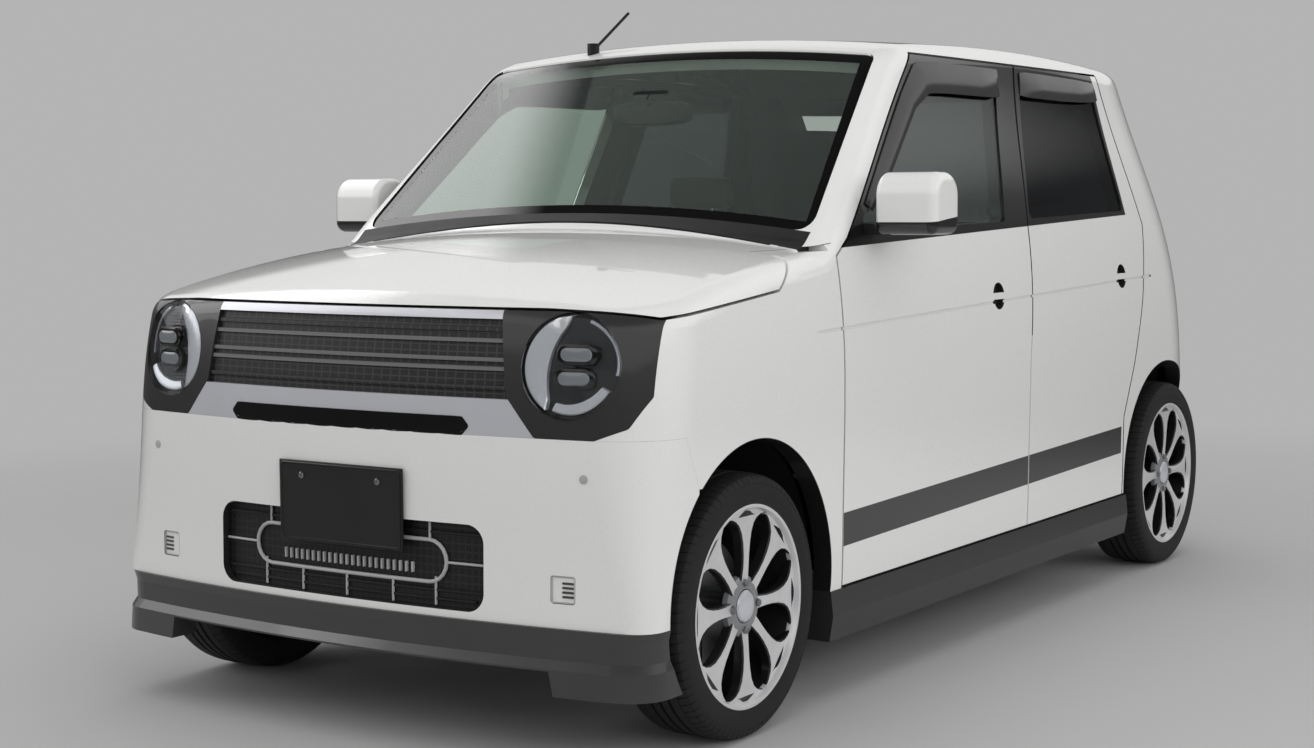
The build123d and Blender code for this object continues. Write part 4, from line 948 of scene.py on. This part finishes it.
addPiece("frontPlateBolts", bolts, boltSteel, "root")

coverX, coverZ, coverSize = frontValues["cover"]
sensorX, sensorZ, sensorRadius = frontValues["sensor"]
for side, sign in sides:
    half = coverSize / 2
    corners = [(coverX - half, coverZ - half), (coverX + half, coverZ - half), (coverX + half, coverZ + half),
               (coverX - half, coverZ + half)]
    path = []
    for (x0, z0), (x1, z1) in zip(corners, corners[1:] + corners[:1]):
        path += [(x0 + (x1 - x0) * t / 6, z0 + (z1 - z0) * t / 6) for t in range(6)]
    ring = tube([onFront(bumperTree, sign * x, z, 0.001) for x, z in path], 0.0019, 6, closed=True)
    slats = []
    for dz in (-0.014, -0.005, 0.004, 0.013):
        path = [onFront(bumperTree, sign * (coverX - 0.002 + 0.024 * t / 4), coverZ + dz, 0.0008)
                for t in range(5)]
        slats.append(tube(path, 0.0024, 6))
    addPiece(f"bumperCoverFrame_{side}", ring, gridLight, "root")
    addPiece(f"bumperCoverSlats_{side}", joined(slats), trimGrey, "root")
    centre = onFront(bumperTree, sign * sensorX, sensorZ, 0.0)
    slope = (onFront(bumperTree, sign * (sensorX + 0.01), sensorZ, 0.0) - centre).normalized()
    rows = []
    for r, lift in ((1.0, -0.001), (1.0, 0.0012), (0.85, 0.0018), (0.05, 0.0018)):
        rows.append([centre + slope * sensorRadius * r * math.cos(math.tau * i / 20)
                     + Vector((0, -lift, sensorRadius * r * math.sin(math.tau * i / 20))) for i in range(20)])
    sensor = grid(rows, closedColumns=True, caps=True)
    addPiece(f"parkingSensor_{side}", sensor, gridLight, "root")
print("front details")

# rain visors, mirror glass and cabin

cabinValues = {
    "visorThick": 0.0025, "visorTop": 0.0012, "visorLow": 0.014,
    # top edge then low edge, each (y, z)
    "frontVisor": [(-0.655, 1.118, -0.622, 1.100), (-0.550, 1.211, -0.512, 1.186),
                   (-0.450, 1.298, -0.408, 1.268), (-0.350, 1.386, -0.308, 1.348),
                   (-0.262, 1.458, -0.215, 1.388), (-0.235, 1.466, -0.180, 1.390),
                   (-0.120, 1.470, -0.090, 1.392), (0.000, 1.470, 0.000, 1.392),
                   (0.110, 1.470, 0.105, 1.392), (0.205, 1.470, 0.195, 1.393), (0.235, 1.468, 0.225, 1.398)],
    "rearVisor": [(0.385, 1.468, 0.372, 1.406), (0.420, 1.470, 0.405, 1.401), (0.520, 1.470, 0.510, 1.400),
                  (0.650, 1.468, 0.650, 1.399), (0.780, 1.466, 0.785, 1.401), (0.880, 1.463, 0.888, 1.406),
                  (0.912, 1.460, 0.922, 1.412)],
    "mirror": (0.760, 0.872, 1.066, 1.172), "insideMirror": (0.0, 1.345, 0.118, 0.032),
}


def skinAt(tree, y, z):
    found = tree.ray_cast(Vector((1.2, y, z)), Vector((-1, 0, 0)))[0]
    return found.x if found else tree.find_nearest(Vector((0.7, y, z)))[0].x


def visorMesh(tree, stations):
    thick = cabinValues["visorThick"]
    rows = []
    last = len(stations) - 1
    for k, (yTop, zTop, yLow, zLow) in enumerate(stations):
        lift = 0.003 if k in (0, last) else cabinValues["visorLow"]
        low, top = skinAt(tree, yLow, zLow) + lift, skinAt(tree, yTop, zTop) + cabinValues["visorTop"]
        outer, inner = [], []
        for i in range(5):
            t = i / 4
            bow = 0.4 * lift * math.sin(math.pi * t)
            y, z, x = yTop + (yLow - yTop) * t, zTop + (zLow - zTop) * t, top + (low - top) * t + bow
            outer.append(Vector((x + thick, y, z)))
            inner.append(Vector((x, y, z)))
        rows.append(outer + inner[::-1])
    return grid(rows, closedColumns=True, caps=True)


for name, door, stations in (("frontVisor", "front_door", cabinValues["frontVisor"]),
                             ("rearVisor", "rear_door", cabinValues["rearVisor"])):
    mesh = visorMesh(treeOf(f"{door}_left", f"{door}_glass_left"), stations)
    for side, sign in sides:
        addPiece(f"{name}_{side}", handed(mesh, sign), visorSmoke, f"{door}_{side}")

# painted corner below each screen pillar: the gap's height is filled in smoothly from its edges
cornerValues = {
    "start": (0.580, -1.030), "step": (0.004, 0.005), "count": (25, 34),    # the patch's grid, (x, y)
    "lowest": 0.97, "firstGuess": 1.018, "passes": 300, "belowSkin": 0.0012, "thick": 0.0015,
}
cornerTree = treeOf("bonnet", "front_fenders", "side_frame_left", "cowl_bulkhead")
columns, lines = cornerValues["count"]
xs = [cornerValues["start"][0] + cornerValues["step"][0] * i for i in range(columns)]
ys = [cornerValues["start"][1] + cornerValues["step"][1] * j for j in range(lines)]
heights = []
for x in xs:
    found = [cornerTree.ray_cast(Vector((x, y, 1.7)), Vector((0, 0, -1)))[0] for y in ys]
    heights.append([p.z if p and p.z > cornerValues["lowest"] else None for p in found])
gaps = [(i, j) for i in range(columns) for j in range(lines) if heights[i][j] is None]
for i, j in gaps:
    heights[i][j] = cornerValues["firstGuess"]


def onPatch(i, j):
    return 0 <= i < columns and 0 <= j < lines


for repeat in range(cornerValues["passes"]):
    for i, j in gaps:
        near = [heights[k][m] for k, m in ((i - 1, j), (i + 1, j), (i, j - 1), (i, j + 1)) if onPatch(k, m)]
        heights[i][j] = sum(near) / len(near)
verts, faces, index = [], [], {}
for i, j in sorted({(i + di, j + dj) for i, j in gaps for di in (-1, 0, 1) for dj in (-1, 0, 1)}):
    if onPatch(i, j):
        index[i, j] = len(verts)
        verts.append(Vector((xs[i], ys[j], heights[i][j] - cornerValues["belowSkin"])))
for i, j in list(index):
    ring = [(i, j), (i + 1, j), (i + 1, j + 1), (i, j + 1)]
    if all(k in index for k in ring):
        faces.append(tuple(index[k] for k in ring))
corner = meshOf(verts, faces)
for side, sign in sides:
    piece = addPiece(f"pillarFoot_{side}", handed(corner, sign), paint, "root")
    thick = piece.modifiers.new("thick", "SOLIDIFY")
    thick.thickness = cornerValues["thick"]
    thick.offset = 0.0
    solid = bpy.data.meshes.new_from_object(piece.evaluated_get(bpy.context.evaluated_depsgraph_get()))
    piece.modifiers.clear()
    piece.data = solid

# gloss black frame and floor in the air slot of the silver trim
slotValues = {
    "half": 0.325, "stations": 44, "z": 0.6775, "halfHeight": 0.0195, "straight": 0.3055, "endRadius": 0.0197,
    "skinLow": 0.6555, "skinHigh": 0.6995, "recess": (0.308, 0.0125),
}
trimTree = treeOf("front_garnish", "front_bumper")


def trimFace(x, z):
    return hit(trimTree, (x, -2.2, z), (0, 1, 0)).y


slotRows = []
for k in range(slotValues["stations"] + 1):
    x = -slotValues["half"] + 2 * slotValues["half"] * k / slotValues["stations"]
    pastStraight = max(0.0, abs(x) - slotValues["straight"]) / slotValues["endRadius"]
    half = slotValues["halfHeight"] * math.sqrt(max(0.02, 1 - pastStraight ** 2))
    skin = trimFace(x, slotValues["skinLow"]) * 0.5 + trimFace(x, slotValues["skinHigh"]) * 0.5
    floor = trimFace(x, slotValues["z"]) if abs(x) < slotValues["recess"][0] else skin
    deep = floor - 0.0008
    edge = min(1.0, slotValues["recess"][1] / half)
    section = ((-1.0, skin - 0.0010), (-edge, skin - 0.0012), (-edge * 0.96, deep), (edge * 0.96, deep),
               (edge, skin - 0.0012), (1.0, skin - 0.0010), (1.0, skin + 0.0005), (-1.0, skin + 0.0005))
    slotRows.append([Vector((x, y, slotValues["z"] + half * t)) for t, y in section])
addPiece("airSlot", grid(slotRows, closedColumns=True, caps=True), glossBlack, "root")

# the mirror glass follows the rear of its housing
mirrorTree = treeOf("door_mirror_left")
x0, x1, z0, z1 = cabinValues["mirror"]
back = hit(mirrorTree, ((x0 + x1) / 2, 0.2, (z0 + z1) / 2), (0, -1, 0)).y
mirrorCorner = 0.02
x0, x1, z0, z1 = x0 + mirrorCorner, x1 - mirrorCorner, z0 + mirrorCorner, z1 - mirrorCorner
outline = []
for cx, cz, start in ((x1, z0, -90), (x1, z1, 0), (x0, z1, 90), (x0, z0, 180)):
    for i in range(6):
        turn = math.radians(start + 18 * i)
        x, z = cx + mirrorCorner * math.cos(turn), cz + mirrorCorner * math.sin(turn)
        outline.append((x, back + 0.0006, z))
mirrorPlate = plateOf(outline, 0.0012, (0, 1, 0))
for side, sign in sides:
    addPiece(f"mirrorGlass_{side}", handed(mirrorPlate, sign), mirrorGlass, f"front_door_{side}")

# inside mirror and the sensor box behind the windscreen
screenTree = treeOf("windscreen")
middleX, middleZ, halfWide, halfHigh = cabinValues["insideMirror"]
glassY = hit(screenTree, (middleX, 0.3, middleZ), (0, -1, 0)).y
sensorY = hit(screenTree, (middleX, 0.3, 1.385), (0, -1, 0)).y


def rounder(value, power):
    # keeps the sign, so that a circle's sine and cosine give a rounded box
    return math.copysign(abs(value) ** power, value)


rows = []
for depth, shrink in ((0.0, 0.86), (0.006, 1.0), (0.018, 0.98), (0.026, 0.80)):
    turns = [math.tau * i / 32 for i in range(32)]
    rows.append([Vector((middleX + halfWide * shrink * rounder(math.cos(turn), 0.5), glassY + 0.075 - depth,
                         middleZ + halfHigh * shrink * rounder(math.sin(turn), 0.6))) for turn in turns])
insideMirror = grid(rows, closedColumns=True, caps=True)
stalk = tube([(0, glassY + 0.058, middleZ + 0.01), (0, glassY + 0.045, middleZ + 0.035),
              (0, sensorY + 0.012, 1.388)], 0.007, 8)
sensorBox = softBox((-0.055, sensorY + 0.008, 1.362), (0.055, sensorY + 0.052, 1.402), 0.009, 3)
addPiece("insideMirror", joined([insideMirror, stalk]), blackPlastic, "root")
addPiece("cameraBox", sensorBox, blackPlastic, "root")

# dashboard: hood over the dials, blank screen and vents
dashValues = {
    "faceHeight": 0.930, "screen": (0.100, 0.875, 0.985),
    "hoodX": -0.330, "hoodHalf": 0.135, "hoodZ": 1.004,
    "hood": ((-0.700, 0.010), (-0.640, 0.046), (-0.590, 0.052), (-0.572, 0.046)),    # y and rise
    "vents": (-0.520, -0.150, 0.150, 0.520), "ventHalf": (0.045, 0.033), "slats": 6,
}
dashTree = treeOf("dashboard")


def dashFace(x, z):
    return hit(dashTree, (x, 0.4, z), (0, -1, 0)).y


hoodRows = []
for y, rise in dashValues["hood"]:
    turns = [math.pi * i / 12 for i in range(13)]
    hoodRows.append([Vector((dashValues["hoodX"] - dashValues["hoodHalf"] * math.cos(turn), y,
                             dashValues["hoodZ"] + rise * math.sin(turn) ** 0.5)) for turn in turns])
addPiece("dialHood", grid(hoodRows, closedColumns=True, caps=True), cabin, "root")
screenBack = dashFace(0.0, dashValues["faceHeight"])
wide, low, high = dashValues["screen"]
screenBox = softBox((-wide, screenBack - 0.004, low), (wide, screenBack + 0.009, high), 0.004, 2)
addPiece("dashScreen", screenBox, glossBlack, "root")
slat = softBox((-0.040, -0.006, -0.0014), (0.040, 0.006, 0.0014), 0.0008, 1)
ventX, ventZ = dashValues["ventHalf"]
for index, x in enumerate(dashValues["vents"]):
    y = dashFace(x, dashValues["faceHeight"]) + 0.003
    slats = repeated(slat, dashValues["slats"], blackPlastic, start=(x, y, 0.905), step=(0, 0, 0.010))
    ringPath = [(x + dx, y, dashValues["faceHeight"] + dz) for dx, dz in
                ((-ventX, -ventZ), (ventX, -ventZ), (ventX, ventZ), (-ventX, ventZ))]
    ring = tube(ringPath, 0.0035, 6, closed=True)
    addPiece(f"dashVent_{index}", joined([slats, ring]), blackPlastic, "root")
print("cabin details")

# rear: handle bar, rear wiper and small reflectors
rearValues = {
    # each path: first x, step in x, first z, step in z, how proud of the skin, number of points
    "handle": (-0.130, 0.026, 0.850, 0.0, 0.006, 11), "arm": (-0.010, 0.030, 1.085, 0.004, 0.012, 10),
    "blade": (0.0, 0.030, 1.098, 0.004, 0.006, 12), "reflector": (0.470, 0.016, 0.405, 0.0, 0.0015, 9),
    "handleRadius": 0.011, "armRadius": 0.0055, "bladeRadius": 0.004, "reflectorRadius": 0.010,
}
rearTree = treeOf("tailgate", "tailgate_glass", "rear_bumper", "side_frame_left", "side_frame_right")


def onRear(x, z, proud):
    return Vector((x, hit(rearTree, (x, 2.4, z), (0, -1, 0)).y + proud, z))


def rearPath(name, sign=1):
    x, stepX, z, stepZ, proud, count = rearValues[name]
    return [onRear(sign * (x + stepX * i), z + stepZ * i, proud) for i in range(count)]


handle = tube(rearPath("handle"), rearValues["handleRadius"], 12, flat=1.3)
addPiece("tailgateHandle", handle, silverTrim, "tailgate")
arm = tube(rearPath("arm"), rearValues["armRadius"], 8)
blade = tube(rearPath("blade"), rearValues["bladeRadius"], 8)
pivot = onRear(rearValues["arm"][0], rearValues["arm"][2], 0.0)
boss = lathe([(0.0, 0.0005), (0.0, 0.020), (0.012, 0.019), (0.018, 0.012), (0.019, 0.0005)], 24)
boss.transform(Matrix.Translation(pivot) @ Matrix.Rotation(math.radians(90), 4, "Z"))
addPiece("rearWiper", joined([arm, blade, boss]), blackPlastic, "tailgate")
for side, sign in sides:
    reflector = tube(rearPath("reflector", sign), rearValues["reflectorRadius"], 10, flat=0.6)
    addPiece(f"rearReflector_{side}", reflector, tailRed, "root")
print("rear details")

# seats: padded by a cloth pass

seatValues = {
    "x": 0.330, "voxel": 0.012, "cap": 0.022, "frames": 20, "pressure": 4.0,
    # each block: low and high corner about the seat's own middle; a lean is in degrees about (y, z)
    "cushion": ((-0.216, -0.312, 0.425), (0.216, 0.060, 0.515)),
    "back": ((-0.212, 0.088, 0.470), (0.212, 0.158, 1.035)), "lean": 14.0, "leanAt": (0.105, 0.520),
    "rest": ((-0.106, 0.238, 1.098), (0.106, 0.296, 1.192)),
    "rearCushion": ((-0.500, 0.440, 0.515), (0.500, 0.815, 0.585)),
    "rearBack": ((-0.500, 0.865, 0.575), (0.500, 0.935, 0.990)),
    "rearLean": 15.0, "rearLeanAt": (0.865, 0.575),
    "base": ((-0.215, -0.300, 0.215), (0.215, 0.150, 0.425)),
    "rearBase": ((-0.500, 0.440, 0.440), (0.500, 0.830, 0.520)),
    "postSpan": 0.05, "postRadius": 0.006, "postEnds": ((0.238, 1.040), (0.262, 1.120)),
}


def cushionMesh(low, high, lean=0.0, at=(0, 0)):
    # softened block whose sides pull in a little between its corners, leant back about one line
    mesh = softBox(low, high, min(h - l for l, h in zip(low, high)) * 0.42, 5)
    size = [(h - l) / 2 for l, h in zip(low, high)]
    middle = [(h + l) / 2 for l, h in zip(low, high)]
    turn = math.radians(lean)
    for vertex in mesh.vertices:
        place = vertex.co
        u = [(place[k] - middle[k]) / size[k] for k in range(3)]
        place.x -= size[0] * 0.05 * u[0] * (1 - u[1] ** 2 if size[1] > size[2] else 1 - u[2] ** 2)
        dy, dz = place.y - at[0], place.z - at[1]
        if lean:
            place.y = at[0] + dy * math.cos(turn) + dz * math.sin(turn)
            place.z = at[1] + dz * math.cos(turn) - dy * math.sin(turn)
    return mesh


def swollen(name, mesh, material, nodeName, xShift):
    # voxel remesh, then an inflating cloth pass whose movement is capped
    obj = bpy.data.objects.new("pad", mesh)
    bpy.context.scene.collection.objects.link(obj)
    remesh = obj.modifiers.new("remesh", "REMESH")
    remesh.mode = "VOXEL"
    remesh.voxel_size = seatValues["voxel"]
    bpy.context.view_layer.update()
    padded = bpy.data.meshes.new_from_object(obj.evaluated_get(bpy.context.evaluated_depsgraph_get()))
    bpy.data.objects.remove(obj)
    obj = bpy.data.objects.new("pad", padded)
    bpy.context.scene.collection.objects.link(obj)
    cloth = obj.modifiers.new("cloth", "CLOTH")
    cloth.settings.use_pressure = True
    cloth.settings.uniform_pressure_force = seatValues["pressure"]
    cloth.settings.effector_weights.gravity = 0.0
    cloth.settings.quality = 4
    cloth.point_cache.frame_end = seatValues["frames"]
    for step in range(1, seatValues["frames"] + 1):
        bpy.context.scene.frame_set(step)
    puffed = bpy.data.meshes.new_from_object(obj.evaluated_get(bpy.context.evaluated_depsgraph_get()))
    for start, end in zip(padded.vertices, puffed.vertices):
        move = end.co - start.co
        end.co = start.co + move * min(1.0, seatValues["cap"] / max(move.length, 1e-6))
    bpy.data.objects.remove(obj)
    bpy.context.scene.frame_set(1)
    padded = puffed
    result = []
    for shift in xShift:
        copy = padded.copy()
        copy.transform(Matrix.Translation((shift, 0, 0)))
        pieceName = f"{name}_{len(result)}" if len(xShift) > 1 else name
        piece = addPiece(pieceName, copy, material, "root", 60)
        result.append(piece)
    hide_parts(nodeName)


frontPads = joined([cushionMesh(*seatValues["cushion"]),
                    cushionMesh(*seatValues["back"], seatValues["lean"], seatValues["leanAt"]),
                    cushionMesh(*seatValues["rest"])])
rearPads = joined([cushionMesh(*seatValues["rearCushion"]),
                   cushionMesh(*seatValues["rearBack"], seatValues["rearLean"], seatValues["rearLeanAt"])])
swollen("frontSeatPad", frontPads, seatCloth, "front_seats", (-seatValues["x"], seatValues["x"]))
swollen("rearSeatPad", rearPads, seatCloth, "rear_seat", (0.0,))

# seat bases and head restraint posts
(lowX, lowY, lowZ), (highX, highY, highZ) = seatValues["base"]
for side, sign in sides:
    x = sign * seatValues["x"]
    base = softBox((x + lowX, lowY, lowZ), (x + highX, highY, highZ), 0.02, 3)
    posts = [tube([(x + dx, y, z) for y, z in seatValues["postEnds"]], seatValues["postRadius"], 10)
             for dx in (-seatValues["postSpan"], seatValues["postSpan"])]
    addPiece(f"seatBase_{side}", base, cabin, "root")
    addPiece(f"restPosts_{side}", joined(posts), steel, "root")
addPiece("rearSeatBase", softBox(*seatValues["rearBase"], 0.015, 2), cabin, "root")
print("seats")

# stage, lights and camera

backdropGrey = 0.456


def stageMesh(name, verts, faces, material):
    mesh = bpy.data.meshes.new(name)
    mesh.from_pydata(verts, [], faces)
    obj = bpy.data.objects.new(name, mesh)
    bpy.context.scene.collection.objects.link(obj)
    mesh.materials.append(material)


def floorMaterial():
    # pale matt floor that fades into the backdrop well away from the car
    material = bpy.data.materials.new("pale studio floor")
    material.use_nodes = True
    tree = material.node_tree
    tree.nodes.clear()
    source = addNode(tree, "ShaderNodeTexCoord").outputs["Object"]
    place = addNode(tree, "ShaderNodeSeparateXYZ", {0: source}).outputs
    away = reachOf(tree, place[0], place[1])
    fade = addNode(tree, "ShaderNodeMapRange", {0: away, 1: 2.4, 2: 5.5},
                   interpolation_type="SMOOTHSTEP").outputs[0]
    matt = addNode(tree, "ShaderNodeBsdfDiffuse", {"Color": (0.47, 0.47, 0.47, 1)}).outputs[0]
    clear = addNode(tree, "ShaderNodeBsdfTransparent").outputs[0]
    mixed = addNode(tree, "ShaderNodeMixShader", {0: fade, 1: matt, 2: clear}).outputs[0]
    addNode(tree, "ShaderNodeOutputMaterial", {0: mixed})
    return material


stageMesh("floor", [(-7, -7, 0), (7, -7, 0), (7, 7, 0), (-7, 7, 0)], [(0, 1, 2, 3)], floorMaterial())

# camera rays see the plain backdrop; reflections see a bright ceiling over a darker horizon, and one bright
# panel high on the car's right
world = bpy.data.worlds.new("studio")
bpy.context.scene.world = world
world.use_nodes = True
tree = world.node_tree
tree.nodes.clear()
rays = addNode(tree, "ShaderNodeLightPath").outputs
direction = addNode(tree, "ShaderNodeSeparateXYZ",
                    {0: addNode(tree, "ShaderNodeTexCoord").outputs["Generated"]}).outputs
rise = addNode(tree, "ShaderNodeMapRange", {0: direction[2], 1: 0.17, 2: 0.23, 3: 0.07, 4: 0.75},
               interpolation_type="SMOOTHSTEP").outputs[0]
fall = addNode(tree, "ShaderNodeMapRange", {0: direction[2], 1: 0.55, 2: 0.78, 3: 1.0, 4: 0.12},
               interpolation_type="SMOOTHSTEP").outputs[0]
panel = addNode(tree, "ShaderNodeMapRange", {0: direction[0], 1: -0.66, 2: -0.60, 3: 3.2, 4: 0.0},
                interpolation_type="SMOOTHSTEP").outputs[0]
ceiling = calc(tree, "MULTIPLY", rise, fall)
panel = calc(tree, "MULTIPLY", panel, calc(tree, "GREATER_THAN", direction[2], 0.55))
ceiling = calc(tree, "MAXIMUM", ceiling, panel)
reflected = calc(tree, "MULTIPLY", ceiling, rays["Is Glossy Ray"])
ambient = calc(tree, "MULTIPLY", calc(tree, "SUBTRACT", 1.0, rays["Is Glossy Ray"]), 0.66)
power = calc(tree, "ADD", reflected, ambient)
light = addNode(tree, "ShaderNodeBackground", {"Color": (1, 1, 1, 1), "Strength": power}).outputs[0]
grey = (backdropGrey, backdropGrey, backdropGrey, 1)
shown = addNode(tree, "ShaderNodeBackground", {"Color": grey, "Strength": 1.0}).outputs[0]
seen = calc(tree, "MAXIMUM", rays["Is Camera Ray"], rays["Is Transmission Ray"])
mixed = addNode(tree, "ShaderNodeMixShader", {0: seen, 1: light, 2: shown}).outputs[0]
addNode(tree, "ShaderNodeOutputWorld", {0: mixed})

lamps = [
    # name, place, width and depth, power
    ("overhead", (0.0, -0.3, 5.0), (6.0, 8.0), 84),
    ("frontLeft", (5.4, -4.2, 2.6), (3.5, 2.5), 62),
    ("leftSide", (6.5, 0.4, 2.4), (4.5, 2.5), 70),
    ("frontRight", (-5.0, -4.0, 3.0), (3.5, 2.5), 46),
]
for name, place, size, power in lamps:
    data = bpy.data.lights.new(name, "AREA")
    data.shape = "RECTANGLE"
    data.size, data.size_y = size
    data.energy = power
    lampObj = bpy.data.objects.new(name, data)
    bpy.context.scene.collection.objects.link(lampObj)
    lampObj.location = place
    lampObj.visible_glossy = name == "frontRight"
    lampObj.rotation_euler = (Vector((0, 0, 0.7)) - Vector(place)).to_track_quat("-Z", "Y").to_euler()

# camera: place, turn and lens
view = {"place": (2.941, -4.9535, 1.129), "azimuth": 33.282, "elevation": 4.755, "roll": -0.281,
        "lens": 57.397}
az, el, roll = (math.radians(view[k]) for k in ("azimuth", "elevation", "roll"))
backDir = Vector((math.sin(az) * math.cos(el), -math.cos(az) * math.cos(el), math.sin(el)))
right = (-backDir).cross(Vector((0, 0, 1))).normalized()
up = right.cross(-backDir)
across = right * math.cos(roll) + up * math.sin(roll)
upward = up * math.cos(roll) - right * math.sin(roll)
cameraData = bpy.data.cameras.new("camera")
cameraData.sensor_width = 36.0
cameraData.lens = view["lens"]
camera = bpy.data.objects.new("camera", cameraData)
bpy.context.scene.collection.objects.link(camera)
axes = [(across[i], upward[i], backDir[i], view["place"][i]) for i in range(3)]
camera.matrix_world = Matrix(axes + [(0, 0, 0, 1)])
bpy.context.scene.camera = camera
bpy.context.scene.view_settings.view_transform = "Standard"
